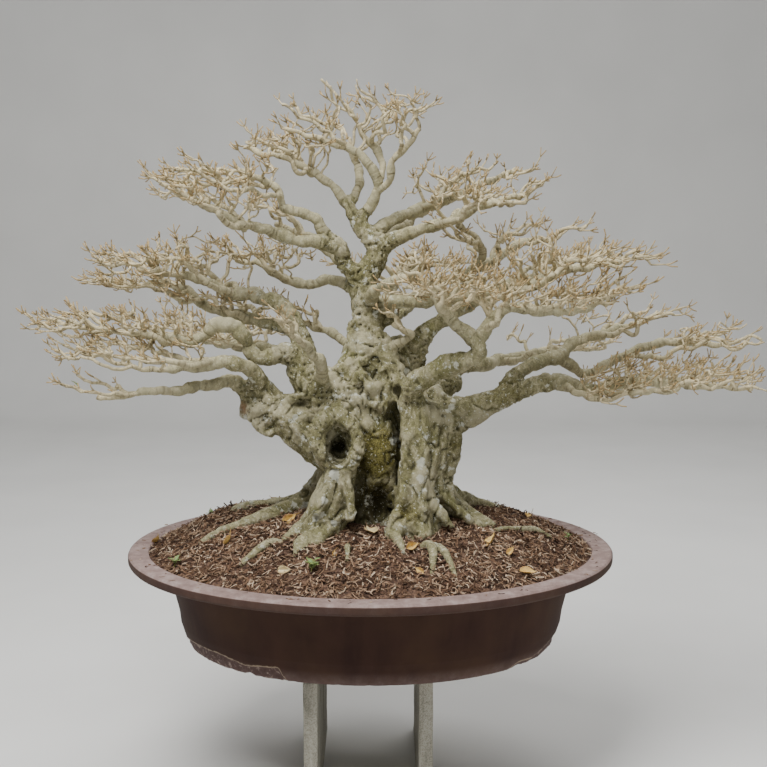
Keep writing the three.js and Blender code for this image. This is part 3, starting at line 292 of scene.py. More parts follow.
def clay_material():
    """Unglazed stoneware, wheel-thrown, fired dark and long outdoors: matt, with rain streaks down
    the wall, a chalky bloom on the lip, painted paler on its lit top than on its shaded band, and paler rubbed edges
    at the foot."""
    finish = settings().finishes
    material, add, here = new_material("unglazed stoneware, weathered")
    bloom, rubbed, flaked = (
        add("Attribute", {}, attribute_name=share).outputs["Fac"] for share in ("bloom", "rubbed", "flaked"))
    streak_space = add("Mapping", {"Vector": here, "Scale": (1.0, 1.0, 0.09)})
    # Rain streaks are 20 to 50 mm wide and run the height of the wall.
    streaks = add("TexNoise", {"Vector": streak_space, "Scale": 26.0, "Detail": 4.0, "Roughness": 0.55})
    wall = add("ValToRGB", {"Fac": streaks}, stops=[(0.3, "#301C16"), (0.5, finish.clay_body), (0.74, "#3F281F")])
    cloud = add("TexNoise", {"Vector": here, "Scale": 9.0, "Detail": 5.0})
    cloud_share = add("MapRange", {"Value": cloud, "From Min": 0.42, "From Max": 0.66, "To Max": 0.8})
    clouded = add("Mix", {"Factor": cloud_share, 6: wall, 7: "#432E20"}, data_type="RGBA")
    mottle = add("TexNoise", {"Vector": here, "Scale": 48.0, "Detail": 7.0, "Roughness": 0.72})
    lip = add("ValToRGB", {"Fac": mottle}, stops=[(0.3, "#7A6660"), (0.5, finish.clay_lip), (0.7, "#A6958F")])
    # The bloom is a real chalky film, painted paler on the lip's top, which faces the light, than on its shaded outer
    # band.
    bloomed = add("Mix", {"Factor": bloom, 6: clouded, 7: lip}, data_type="RGBA")
    # Flaked ground is rough and mauve; a fine pale crack runs along its upper edge.
    crinkle = add("TexNoise", {"Vector": here, "Scale": 130.0, "Detail": 4.0, "Roughness": 0.7})
    edge_way = add("Math", {0: crinkle, 1: 8.0, 2: -4.0}, operation="MULTIPLY_ADD")
    below = add("Math", {0: flaked, 1: edge_way}, operation="ADD")
    ground_share = add("MapRange", {"Value": below, "From Min": 0.0, "From Max": 1.5, "To Max": 0.75})
    ground = add("ValToRGB", {"Fac": crinkle}, stops=[(0.3, "#453331"), (0.56, "#5A4743"), (0.66, "#A09084")])
    broken = add("Mix", {"Factor": ground_share, 6: bloomed, 7: ground}, data_type="RGBA")
    off_edge = add("Math", {0: below}, operation="ABSOLUTE")
    crack = add("MapRange", {"Value": off_edge, "From Min": 0.6, "From Max": 2.2, "To Min": 0.7, "To Max": 0.0})
    cracked = add("Mix", {"Factor": crack, 6: broken, 7: "#A8967F"}, data_type="RGBA")
    wear = add("Math", {0: mottle, 1: 0.9, 2: rubbed}, operation="MULTIPLY_ADD")
    wear_share = add("MapRange", {"Value": wear, "From Min": 0.62, "From Max": 1.2, "To Max": 0.85})
    worn = add("Mix", {"Factor": wear_share, 6: cracked, 7: "#8F7A6E"}, data_type="RGBA")
    grit = add("TexNoise", {"Vector": here, "Scale": 520.0, "Detail": 3.0, "Roughness": 0.7})
    throwing = add("Bump", {"Height": streaks, "Strength": 0.25, "Distance": 0.002})
    gritty = add("Bump", {"Height": grit, "Strength": 0.35, "Distance": 0.0006, "Normal": throwing})
    return surfaced(material, {"Base Color": worn, "Roughness": 0.75, "Specular IOR Level": 0.2, "Normal": gritty})


def shred_material(name):
    """Shredded pine bark: each curl has its own brown, from near black when wet to dry tan, and
    fibres along it."""
    finish = settings().finishes
    material, add, here = new_material(name)
    tint = add("Attribute", {}, attribute_name="tint").outputs["Fac"]
    brown = add("ValToRGB", {"Fac": tint}, stops=[
        (0.0, finish.mulch_dark), (0.3, "#583F30"), (0.55, "#87684F"), (0.82, finish.mulch_light), (1.0, "#DCC8AE")])
    fibre = add("TexNoise", {"Vector": here, "Scale": 600.0, "Detail": 2.0})
    fibre_tone = add("ValToRGB", {"Fac": fibre}, stops=[(0.3, "#8C8078"), (0.65, WHITE)])
    shade = add("Mix", {"Factor": 0.6, 6: brown, 7: fibre_tone}, data_type="RGBA", blend_type="MULTIPLY")
    bump = add("Bump", {"Height": fibre, "Strength": 0.5, "Distance": 0.0006})
    return surfaced(material, {"Base Color": shade, "Roughness": 0.85, "Specular IOR Level": 0.3, "Normal": bump})


def soil_material():
    """Rotted bark and grit under the shreds: dark, damp and crumbly."""
    material, add, here = new_material("rotted bark and grit")
    crumbs = add("TexNoise", {"Vector": here, "Scale": 190.0, "Detail": 6.0, "Roughness": 0.75})
    brown = add("ValToRGB", {"Fac": crumbs}, stops=[(0.35, "#33231B"), (0.5, "#604738"), (0.66, "#94745C")])
    bump = add("Bump", {"Height": crumbs, "Strength": 1.0, "Distance": 0.004})
    return surfaced(material, {"Base Color": brown, "Roughness": 0.95, "Normal": bump})


def concrete_material():
    """Cast concrete left outdoors: pale grey, with sandy pores and rain stains down the faces."""
    finish = settings().finishes
    material, add, here = new_material("cast concrete, rain-stained")
    stain_space = add("Mapping", {"Vector": here, "Scale": (1.0, 1.0, 0.16)})
    stains = add("TexNoise", {"Vector": stain_space, "Scale": 42.0, "Detail": 6.0, "Roughness": 0.65})
    tone = add("ValToRGB", {"Fac": stains}, stops=[(0.3, "#6F6C5E"), (0.48, finish.concrete), (0.7, "#C4C0B1")])
    sand = add("TexNoise", {"Vector": here, "Scale": 480.0, "Detail": 3.0, "Roughness": 0.7})
    sand_tone = add("ValToRGB", {"Fac": sand}, stops=[(0.32, "#8E8B80"), (0.56, WHITE)])
    sandy = add("Mix", {"Factor": 0.7, 6: tone, 7: sand_tone}, data_type="RGBA", blend_type="MULTIPLY")
    pores = add("TexVoronoi", {"Vector": here, "Scale": 160.0})
    pore_shape = add("MapRange", {"Value": pores, "From Min": 0.05, "From Max": 0.25})
    pore_bump = add("Bump", {"Height": pore_shape, "Strength": 0.4, "Distance": 0.001})
    sand_bump = add("Bump", {"Height": sand, "Strength": 0.5, "Distance": 0.0008, "Normal": pore_bump})
    return surfaced(material, {"Base Color": sandy, "Roughness": 0.9, "Normal": sand_bump})


def leaf_material(name, body, speck, edge, vein):
    """A small leaf: thin and slightly waxy, with a paler midrib and side veins, and blotches that
    spread from its edge; the ribs follow the blade's own length and width."""
    material, add, here = new_material(name)
    blade = add("UVMap", {}, uv_map="blade").outputs["UV"]
    parts = add("SeparateXYZ", {"Vector": blade})
    from_rib = add("Math", {0: parts.outputs["Y"], 1: 0.5}, operation="SUBTRACT")
    rib_gap = add("Math", {0: from_rib}, operation="ABSOLUTE")
    rib = add("MapRange", {"Value": rib_gap, "From Min": 0.025, "From Max": 0.05, "To Min": 1.0, "To Max": 0.0})
    slant = add("Math", {0: rib_gap, 1: -0.9, 2: parts.outputs["X"]}, operation="MULTIPLY_ADD")
    pulse = add("Math", {0: slant, 1: 50.0}, operation="MULTIPLY")
    wave = add("Math", {0: pulse}, operation="SINE")
    side_vein = add("MapRange", {"Value": wave, "From Min": 0.82, "From Max": 0.98, "To Max": 0.5})
    veins = add("Math", {0: rib, 1: side_vein}, operation="MAXIMUM")
    blotch = add("TexNoise", {"Vector": here, "Scale": 130.0, "Detail": 4.0, "Roughness": 0.65})
    aged = add("Math", {0: rib_gap, 1: 0.7, 2: blotch}, operation="MULTIPLY_ADD")
    tone = add("ValToRGB", {"Fac": aged}, stops=[(0.42, speck), (0.6, body), (0.95, edge)])
    veined = add("Mix", {"Factor": veins, 6: tone, 7: vein}, data_type="RGBA")
    bump = add("Bump", {"Height": veins, "Strength": 0.5, "Distance": 0.0006})
    return surfaced(material, {"Base Color": veined, "Roughness": 0.55, "Normal": bump})


def plastic_material():
    """Polypropylene drainage mesh, moulded: black, with a dull sheen and soil dust in its grain."""
    material, add, here = new_material("polypropylene mesh, moulded")
    dust = add("TexNoise", {"Vector": here, "Scale": 160.0, "Detail": 4.0})
    tone = add("ValToRGB", {"Fac": dust}, stops=[(0.5, "#1C1B1A"), (0.72, "#5B4A3C")])
    bump = add("Bump", {"Height": dust, "Strength": 0.2, "Distance": 0.0004})
    return surfaced(material, {"Base Color": tone, "Roughness": 0.5, "Normal": bump})


def shared(name, make):
    """The material of that name, made on its first use."""
    return bpy.data.materials.get(name) or make(name)


def bark():
    return shared("living fig bark", bark_material)


# Rows of wood are (across, depth, height, radius) in millimetres on the upright plane through
# the trunk, as an eye at this place sees them, and slide along its line of sight to their depth.
EYE = Vector((24.0, -2300.0, 642.0))


def placed(across, depth, height):
    slide = (depth - EYE.y) / -EYE.y
    return (EYE.x + (across - EYE.x) * slide, depth, EYE.z + (height - EYE.z) * slide)


WOOD = [
    [
        (2, 10, 0, 88), (6, 6, 87, 72), (3, 2, 153, 68), (-5, 0, 219, 68), (-16, -4, 276, 62), (-19, -6, 328, 46),
        (-14, -4, 365, 36), (-4, -2, 396, 28), (-1, 0, 427, 28), (-6, 2, 457, 29), (-15, 4, 486, 24)],
    [
        (-15, 4, 486, 24), (-4, 4, 511, 23), (12, 2, 537, 22), (10, 2, 560, 19), (-4, 4, 580, 16), (-24, 8, 602, 14),
        (-38, 12, 625, 12)],
    [
        (-99, -98, 0, 48), (-85, -98, 48, 40), (-68, -98, 96, 33), (-57, -98, 132, 30), (-53, -96, 155, 27)],
    [
        (-53, -112, 148, 22), (-76, -118, 167, 17), (-97, -116, 193, 16), (-99, -109, 219, 17), (-78, -102, 244, 18),
        (-47, -90, 257, 21)],
    [
        (-51, -112, 151, 20), (-30, -114, 170, 14), (-23, -112, 197, 13), (-32, -108, 223, 13), (-51, -104, 243, 14)],
    [
        (-47, -40, 219, 58), (-67, -35, 266, 50), (-93, -30, 298, 42), (-119, -28, 328, 34), (-129, -28, 350, 28)],
    [
        (-35, -40, 172, 56), (-79, -50, 191, 46), (-121, -46, 219, 40), (-158, -40, 246, 38), (-189, -34, 261, 34),
        (-215, -30, 268, 28), (-228, -28, 266, 24)],
    [
        (81, -98, 0, 52), (81, -98, 48, 41), (81, -98, 90, 34), (84, -96, 144, 29), (84, -90, 201, 27),
        (79, -82, 248, 27), (75, -78, 279, 26)],
    [
        (141, -56, 87, 21), (133, -58, 121, 19), (138, -54, 159, 24), (140, -46, 201, 32), (129, -36, 238, 38),
        (91, -20, 276, 44)],
    [
        (101, -36, 216, 46), (143, -36, 242, 40), (180, -34, 255, 30), (213, -32, 268, 23), (239, -30, 278, 20),
        (265, -28, 287, 18)],
    [(64, 30, 266, 40), (110, 36, 291, 30), (143, 40, 306, 25), (169, 44, 309, 18)],
    [(40, 50, 219, 50), (66, 56, 266, 38), (78, 60, 313, 26), (78, 62, 346, 23), (84, 64, 372, 22)],
    [(-48, 80, 0, 50), (-35, 66, 87, 44), (-27, 50, 182, 44), (-27, 36, 257, 44)],
    [(40, 118, 0, 52), (36, 96, 87, 44), (29, 74, 182, 46), (14, 50, 257, 46)],
    [(111, 70, 0, 46), (101, 52, 87, 40), (92, 34, 172, 44), (77, 20, 238, 44)],
    [(-9, 112, 0, 44), (-5, 92, 106, 38), (-8, 72, 201, 36)],
    [(44, 8, 280, 42), (46, 12, 326, 34), (47, 14, 362, 24), (36, 8, 392, 20)],
    [
        (18, -44, 236, 22), (16, -54, 204, 27), (17, -58, 168, 31), (14, -56, 128, 28), (18, -50, 100, 22)],
]

# A bough's rows up to its stub belong to the trunk's wood and the rest to the spray of its host.
# Pads are clouds that its twigs fill: (across, depth, height, half width, half depth, half height).
Bough = namedtuple("Bough", "host stub rows pads")

BOUGHS = [
    Bough("upper_left_leader", 5, [
        (-15, 2, 482, 20), (-33, -6, 513, 16), (-50, -10, 529, 15), (-51, -12, 551, 14), (-71, -16, 567, 12),
        (-87, -20, 587, 11), (-98, -24, 607, 10), (-127, -30, 616, 9), (-152, -34, 625, 8), (-161, -36, 648, 7.5),
        (-175, -38, 668, 7), (-202, -42, 680, 6), (-229, -46, 691, 4), (-261, -50, 694, 3)],
        [(-245, -50, 680, 130, 120, 48), (-330, -40, 675, 65, 100, 36)]),
    Bough("crown_left", 1, [
        (-36, 12, 623, 10), (-53, 20, 648, 9), (-69, 26, 668, 8), (-94, 34, 684, 7.5), (-126, 44, 703, 7),
        (-160, 52, 717, 6), (-194, 58, 726, 4.5), (-223, 62, 733, 3)], [(-145, 50, 735, 100, 110, 48)]),
    Bough("apex_left", 1, [
        (-24, 8, 602, 11), (0, 2, 630, 10), (12, -2, 655, 9.5), (14, -4, 673, 9), (3, -6, 696, 8.5),
        (-15, -8, 716, 8), (-34, -10, 733, 7), (-58, -14, 740, 6), (-90, -18, 751, 5), (-125, -22, 758, 4),
        (-147, -26, 768, 3)], [(-80, -14, 785, 95, 100, 55)]),
    Bough("apex_left", 0, [
        (14, -4, 669, 8), (23, 8, 694, 7.5), (18, 16, 721, 7), (0, 20, 744, 6), (-18, 22, 765, 5), (-32, 22, 789, 4),
        (-45, 20, 809, 3)], [(-45, 20, 810, 70, 80, 45), (25, 16, 800, 60, 70, 32)]),
    Bough("apex_left", 0, [
        (12, -2, 655, 8), (36, -20, 677, 7), (39, -28, 701, 6.5), (54, -32, 726, 6), (75, -36, 747, 5),
        (89, -38, 768, 3.5)], [(60, -30, 780, 62, 90, 48)]),
    Bough("upper_right", 2, [
        (12, 2, 540, 16), (32, -8, 564, 15), (58, -16, 576, 14), (90, -26, 589, 13), (126, -36, 598, 12),
        (159, -44, 609, 10.5), (187, -52, 627, 9), (220, -58, 636, 7.5), (249, -62, 643, 6), (279, -66, 650, 4)],
        [(180, -60, 640, 95, 110, 42), (270, -60, 660, 55, 90, 45)]),
    Bough("upper_right_back", 1, [
        (0, 6, 573, 13), (27, 24, 596, 12), (57, 36, 612, 11), (90, 46, 625, 10), (122, 54, 634, 9),
        (155, 62, 652, 8), (191, 70, 662, 7), (225, 76, 677, 5.5), (260, 80, 691, 4)],
        [(145, 70, 680, 110, 100, 45), (260, 80, 690, 50, 90, 45)]),
    Bough("long_left", 2, [
        (-48, -12, 548, 14), (-73, -24, 560, 13), (-102, -40, 567, 12.5), (-135, -48, 569, 12), (-167, -54, 580, 11),
        (-199, -64, 591, 10), (-236, -72, 598, 9), (-268, -80, 616, 8), (-300, -88, 634, 6.5), (-332, -96, 652, 5),
        (-360, -102, 669, 3)], [(-280, -85, 640, 120, 110, 44), (-350, -95, 660, 45, 80, 40)]),
    Bough("mid_left", 3, [
        (-115, -28, 335, 26), (-122, -20, 378, 20), (-133, -14, 405, 18), (-149, -10, 437, 16), (-170, -6, 457, 15),
        (-198, -4, 466, 13), (-229, -2, 470, 12), (-256, 0, 468, 11), (-274, 2, 484, 10), (-295, 4, 495, 9),
        (-335, 6, 504, 7.5), (-373, 8, 510, 6), (-404, 10, 513, 4)],
        [(-320, 5, 530, 125, 120, 45), (-445, 10, 530, 75, 95, 36)]),
    Bough("low_left_back", 2, [
        (-129, -4, 396, 15), (-156, 14, 413, 14), (-187, 26, 418, 13), (-224, 36, 427, 12), (-260, 44, 438, 11),
        (-296, 50, 448, 10), (-318, 54, 462, 9), (-340, 58, 479, 8), (-374, 60, 490, 7), (-416, 62, 488, 5),
        (-460, 62, 482, 3.5)], [(-400, 62, 490, 130, 110, 36), (-255, 60, 460, 90, 110, 26)]),
    Bough("arching_left", 2, [
        (-120, -34, 335, 20), (-151, -44, 365, 17), (-181, -50, 356, 15), (-208, -56, 356, 14),
        (-224, -60, 380, 13.5), (-235, -64, 402, 13), (-260, -68, 415, 12), (-286, -72, 413, 11),
        (-305, -74, 396, 10), (-334, -76, 385, 9), (-371, -78, 389, 8), (-407, -80, 398, 6.5), (-449, -80, 402, 5),
        (-504, -80, 405, 3.5)], [(-440, -75, 420, 150, 120, 42), (-570, -70, 415, 70, 90, 34)]),
    Bough("low_left_front", 2, [
        (-182, -36, 279, 20), (-200, -56, 304, 17), (-214, -74, 326, 15), (-236, -94, 341, 13),
        (-269, -106, 345, 11.5), (-304, -116, 339, 10.5), (-335, -124, 339, 9), (-372, -132, 333, 7),
        (-414, -138, 335, 5), (-464, -142, 343, 3.5)],
        [(-405, -130, 365, 140, 110, 30), (-525, -120, 365, 70, 90, 26)]),
    Bough("lowest_left", 2, [
        (-219, -30, 268, 20), (-228, -44, 289, 16), (-255, -66, 311, 13), (-288, -86, 304, 12),
        (-320, -104, 298, 10.5), (-351, -120, 289, 9), (-388, -136, 292, 8), (-421, -150, 289, 6.5),
        (-462, -164, 281, 5), (-506, -176, 283, 3.5)], [(-490, -165, 300, 85, 95, 28)]),
    Bough("back_left", 1, [
        (-22, 8, 475, 12), (-48, 26, 491, 11), (-73, 42, 497, 10), (-99, 58, 491, 9.5), (-128, 76, 488, 9),
        (-157, 94, 499, 8), (-186, 112, 519, 7), (-215, 130, 529, 5.5), (-240, 146, 533, 4)],
        [(-195, 125, 540, 100, 120, 36)]),
    Bough("small_back_left", 1, [
        (-23, 0, 369, 11), (-50, 22, 385, 9), (-78, 40, 405, 8), (-107, 58, 413, 6.5), (-136, 74, 420, 5)],
        [(-105, 62, 435, 65, 70, 30)]),
    Bough("inner_right", 1, [
        (18, -16, 365, 10), (47, -40, 378, 8), (73, -52, 394, 7), (58, -58, 405, 6), (40, -62, 416, 4.5)],
        [(55, -60, 425, 40, 50, 22)]),
    Bough("right_riser", 2, [
        (10, 0, 416, 15), (40, 10, 431, 13), (65, 18, 448, 12), (85, 26, 466, 11.5), (112, 34, 482, 11),
        (145, 42, 497, 10.5), (181, 52, 515, 10), (217, 60, 529, 9), (246, 66, 549, 7.5), (280, 72, 564, 6),
        (317, 78, 573, 4)], [(235, 66, 575, 110, 110, 50), (345, 80, 585, 60, 90, 42)]),
    Bough("right_riser", 0, [
        (181, 52, 515, 8), (203, 34, 540, 7), (199, 20, 564, 6.5), (177, 8, 582, 6), (155, -4, 594, 5)],
        [(165, 0, 585, 75, 80, 36)]),
    Bough("right_long", 1, [
        (7, -8, 446, 14), (40, -30, 457, 13), (80, -46, 460, 12), (127, -60, 462, 11.5), (171, -72, 466, 11),
        (211, -82, 466, 10.5), (247, -90, 468, 10), (280, -96, 480, 9), (316, -102, 500, 8), (359, -108, 515, 7),
        (410, -112, 524, 5.5), (462, -114, 535, 4)],
        [(345, -100, 530, 120, 120, 38), (455, -108, 535, 60, 80, 34), (165, -80, 490, 100, 100, 34)]),
    Bough("back_right", 2, [
        (84, 64, 372, 22), (95, 66, 394, 19), (111, 70, 409, 16), (138, 84, 427, 14), (171, 104, 446, 13),
        (207, 126, 468, 12), (247, 148, 486, 10), (287, 168, 500, 8), (330, 188, 508, 6), (372, 204, 511, 4)],
        [(310, 180, 530, 120, 120, 36)]),
    Bough("front_right", 2, [
        (75, -80, 276, 22), (80, -104, 304, 20), (106, -124, 319, 19), (135, -142, 339, 18), (165, -156, 348, 16.5),
        (187, -166, 354, 15), (196, -172, 369, 14), (186, -176, 389, 12.5), (168, -180, 404, 11.5),
        (149, -186, 422, 10.5), (134, -190, 442, 9), (120, -194, 460, 7), (109, -196, 482, 5)],
        [(120, -190, 475, 85, 90, 40)]),
    Bough("front_right", 0, [
        (192, -174, 381, 13), (212, -168, 407, 12), (230, -164, 431, 11), (259, -160, 444, 10), (299, -156, 442, 9.5),
        (343, -152, 438, 8.5), (383, -148, 444, 7), (419, -144, 460, 6), (459, -140, 479, 4)],
        [(345, -150, 465, 120, 100, 34), (435, -142, 480, 60, 80, 30), (235, -165, 460, 60, 80, 30)]),
    Bough("big_right", 2, [
        (239, -30, 278, 20), (265, -28, 287, 18), (294, -30, 300, 16.5), (331, -34, 307, 15), (371, -40, 304, 14),
        (412, -46, 292, 12.5), (452, -52, 306, 11), (500, -58, 313, 10), (552, -62, 307, 8.5), (607, -66, 302, 7),
        (663, -68, 298, 5), (703, -70, 294, 3.5)], [(550, -60, 315, 165, 120, 34), (425, -50, 290, 90, 100, 32)]),
    Bough("big_right_upper", 2, [
        (239, -30, 278, 15), (253, -14, 307, 14), (279, 0, 332, 13), (311, 12, 348, 12.5), (344, 24, 357, 12),
        (366, 34, 376, 11), (391, 44, 389, 10), (424, 54, 400, 9), (460, 62, 413, 7), (502, 68, 424, 5)],
        [(465, 60, 425, 120, 110, 38)]),
    Bough("big_right_upper", 0, [
        (341, 22, 356, 10), (363, 34, 343, 9.5), (396, 44, 328, 9.5), (429, 50, 337, 9), (466, 54, 357, 8.5),
        (509, 56, 376, 8), (556, 56, 383, 7), (612, 54, 381, 5.5), (663, 52, 380, 4)],
        [(585, 52, 390, 140, 110, 36), (685, 48, 385, 40, 80, 30)]),
    Bough("hind_left_low", 1, [
        (-60, 30, 276, 30), (-89, 70, 306, 22), (-119, 110, 332, 18), (-151, 150, 354, 15), (-188, 192, 369, 13),
        (-232, 236, 376, 11), (-279, 276, 383, 9), (-327, 310, 391, 6.5), (-371, 336, 394, 4)],
        [(-285, 290, 400, 170, 130, 36)]),
    Bough("hind_right_low", 1, [
        (54, 80, 276, 26), (84, 120, 298, 20), (117, 160, 317, 17), (157, 200, 332, 15), (205, 240, 343, 13),
        (260, 276, 354, 11), (319, 306, 365, 9), (377, 330, 369, 6.5), (428, 346, 372, 4)],
        [(350, 310, 380, 170, 120, 34)]),
    Bough("hind_middle", 1, [
        (-4, 20, 378, 20), (3, 60, 402, 16), (14, 104, 427, 14), (25, 150, 453, 12), (36, 196, 475, 10),
        (43, 240, 493, 8), (47, 280, 508, 5)], [(55, 245, 520, 150, 110, 34)]),
    Bough("hind_upper_left", 1, [
        (-11, 10, 493, 15), (-33, 44, 515, 12), (-59, 80, 537, 11), (-84, 116, 555, 10), (-113, 150, 573, 8.5),
        (-142, 180, 587, 7), (-167, 206, 598, 5)], [(-145, 185, 615, 120, 100, 36)]),
    Bough("hind_upper_right", 1, [
        (12, 8, 544, 14), (32, 40, 569, 12), (54, 74, 591, 11), (79, 106, 611, 9.5), (108, 136, 627, 8),
        (137, 162, 641, 6.5), (165, 184, 653, 4.5)], [(125, 165, 660, 110, 90, 36)]),
    Bough("fore_middle", 1, [
        (-8, -10, 453, 13), (3, -46, 471, 11), (21, -80, 486, 10), (43, -110, 497, 9), (69, -138, 506, 7.5),
        (90, -162, 519, 5.5)], [(75, -150, 530, 70, 90, 30)]),
    Bough("fore_left", 1, [
        (-97, -60, 298, 16), (-89, -92, 324, 12), (-93, -118, 346, 10), (-111, -142, 369, 9), (-133, -164, 387, 7.5),
        (-154, -184, 405, 5)], [(-145, -180, 420, 60, 60, 26)]),
    Bough("hind_apex", 1, [
        (-38, 14, 627, 8), (-26, 34, 652, 7.5), (-18, 52, 677, 7), (-22, 68, 701, 6), (-33, 82, 723, 5),
        (-43, 94, 740, 3.5)], [(-35, 85, 755, 100, 70, 42)]),
]

# Folds and fused aerial roots that stand proud of the columns.
FOLDS = [
    [(-51, -60, 317, 8), (-41, -65, 298, 8), (-29, -68, 279, 7.5), (-18, -66, 263, 7), (-8, -62, 249, 5)],
    [(-27, -46, 346, 7), (-17, -58, 328, 8), (-5, -65, 309, 8), (6, -68, 291, 7.5), (14, -66, 272, 6)],
    [(29, -42, 350, 7), (25, -58, 328, 8), (19, -66, 306, 7.5), (8, -66, 287, 6)],
    [(49, -26, 365, 8), (41, -46, 339, 8), (36, -60, 313, 9), (29, -68, 287, 9), (25, -70, 261, 8),
     (18, -68, 238, 6)],
    [(-38, -66, 253, 8), (-21, -74, 242, 10), (-8, -78, 223, 10), (-3, -76, 201, 9), (-8, -72, 178, 6)],
    [(-47, -84, 231, 7), (-34, -90, 208, 8), (-25, -88, 186, 7), (-23, -82, 167, 6)],
    [(-92, -94, 231, 7), (-103, -102, 201, 8), (-98, -108, 172, 8), (-83, -112, 148, 8)],
    [(-57, -124, 151, 8), (-48, -130, 125, 8), (-39, -134, 96, 8), (-35, -138, 71, 8), (-41, -142, 44, 8)],
    [(-76, -124, 144, 8), (-79, -132, 113, 8), (-91, -138, 83, 9), (-106, -144, 56, 10)],
    [(71, -116, 219, 8), (66, -122, 182, 8), (64, -128, 144, 8), (60, -134, 102, 8), (51, -140, 64, 9),
     (34, -146, 35, 7)],
    [(91, -100, 272, 8), (99, -110, 229, 9), (99, -118, 182, 9), (92, -124, 140, 8), (94, -132, 96, 9),
     (100, -140, 58, 9)],
    [(115, -84, 268, 10), (114, -92, 229, 12), (116, -98, 182, 12), (111, -104, 140, 11), (107, -112, 102, 10),
     (126, -118, 68, 10), (147, -122, 41, 7)],
    [(141, -70, 253, 10), (140, -76, 212, 12), (131, -84, 170, 12), (125, -88, 132, 10), (135, -90, 98, 9),
     (163, -84, 68, 9), (193, -74, 41, 6)],
    [(3, -62, 182, 8), (-1, -64, 144, 7), (3, -70, 96, 7), (-5, -80, 48, 7)],
    [(32, -64, 189, 8), (40, -68, 144, 7), (36, -76, 87, 7), (29, -88, 44, 6)],
    [(-37, -22, 372, 10), (-47, -36, 350, 10), (-60, -48, 328, 9), (-75, -58, 306, 8)],
    [(3, -26, 405, 8), (-8, -36, 378, 7), (-15, -44, 354, 7)],
    [(-130, -58, 328, 9), (-119, -68, 302, 9), (-101, -76, 279, 8), (-75, -82, 261, 8)],
    [(-200, -66, 272, 8), (-182, -74, 253, 9), (-158, -80, 238, 9), (-131, -86, 223, 9), (-109, -92, 204, 8)],
    [(-219, -60, 242, 8), (-201, -62, 223, 8), (-177, -66, 208, 7)],
    [(-34, -26, 427, 6), (-39, -34, 398, 6), (-34, -42, 369, 6), (-38, -52, 343, 6)],
    [(14, -26, 420, 6), (16, -34, 387, 6), (10, -42, 357, 6)],
    [(51, -62, 320, 9), (69, -74, 298, 9), (80, -86, 276, 9), (86, -98, 249, 8)],
]

# Roots are rows of (x, y, height over the soil, radius) in millimetres.
TRUNK_ROOTS = [
    [(-60, 45, 70, 28), (-98, 58, 36, 21), (-128, 52, 12, 16), (-153, 28, 3, 14), (-187, -8, 2, 12),
     (-222, -33, 1, 10.5), (-257, -51, 0, 9), (-288, -68, -1, 6.5), (-312, -84, -4, 4)],
    [(-60, 80, 60, 24), (-110, 100, 20, 15), (-155, 98, 4, 11), (-200, 86, 1, 9), (-240, 72, 0, 7),
     (-275, 62, -3, 5)],
    [(-62, -70, 40, 30), (-92, -84, 14, 20), (-118, -100, 3, 14), (-138, -120, 0, 10), (-155, -142, -4, 6)],
    [(-60, -95, 30, 28), (-76, -118, 8, 20), (-88, -146, 0, 13), (-97, -170, -5, 8)],
    [(34, -80, 20, 18), (38, -112, 4, 12), (45, -148, 1, 9), (54, -182, -1, 7), (60, -205, -5, 4)],
    [(118, -30, 60, 24), (146, -20, 26, 17), (168, -18, 8, 12), (188, -40, 1, 9), (205, -62, -3, 6)],
    [(98, -60, 50, 20), (120, -66, 18, 13), (136, -78, 3, 10), (150, -96, -2, 7)],
    [(140, 20, 30, 18), (172, 0, 10, 12), (205, -30, 2, 9), (232, -50, -3, 6)],
    [(78, -118, 26, 24), (92, -134, 5, 14), (100, -150, -4, 8)],
    [(52, -118, 22, 22), (44, -140, 6, 15), (34, -160, -3, 9)],
    [(60, 110, 30, 26), (90, 150, 8, 16), (125, 185, 0, 11), (160, 215, -4, 7)],
    [(-20, 120, 30, 26), (-40, 165, 8, 16), (-75, 205, 0, 11), (-110, 235, -4, 7)],
    [(130, 60, 30, 22), (175, 80, 8, 14), (225, 100, 1, 10), (262, 112, -4, 6)],
    [(20, 140, 24, 20), (22, 190, 4, 12), (10, 235, -4, 7)],
    [(-88, -128, 2, 12), (-104, -146, 4, 10), (-122, -164, 4, 8), (-127, -190, 1, 6), (-129, -208, -4, 4)],
    [(-116, -156, 3, 7), (-110, -180, 2, 5), (-107, -204, -3, 3)],
]

LOOSE_ROOTS = {
    "root_far_left": [
        [(-222, -205, -3, 4), (-206, -190, 2, 5.5), (-190, -172, 3, 6), (-170, -153, 2, 5.5), (-154, -148, -3, 4)]],
    "root_middle": [
        [(-37, -172, -3, 3.5), (-38, -190, 3, 4.5), (-37, -212, 2, 4), (-38, -232, -3, 3)]],
    "root_right": [
        [(90, -176, -4, 5), (98, -178, 3, 7), (106, -186, 5, 8), (109, -207, 3, 6.5), (107, -240, -1, 5),
         (106, -256, -4, 3)],
        [(104, -180, 4, 6.5), (118, -182, 4, 6.5), (131, -204, 2, 6), (140, -238, -1, 4.5), (145, -256, -4, 3)]],
    "root_right_thin": [
        [(225, -62, -3, 3.5), (248, -58, 2, 4.5), (275, -46, 3, 5), (305, -32, 2, 4.5), (335, -37, -2, 3)]],
}

# The soil's mound, and the oval that the pot and the soil keep.
OVAL_FROM = 300.0
OVAL_SHIFT = POT_HALF_WIDTH - POT_HALF_DEPTH
SOIL_EDGE = 411.0
SOIL_DEEP = SOIL_EDGE - OVAL_SHIFT
MOUND_RISE = 66.0


def oval_factor(radius):
    held = max(radius, OVAL_FROM)
    return (held - OVAL_SHIFT) / held


def bump(x, y, cx, cy, sx, sy, height):
    return height * np.exp(-((x - cx) / sx) ** 2 - ((y - cy) / sy) ** 2)


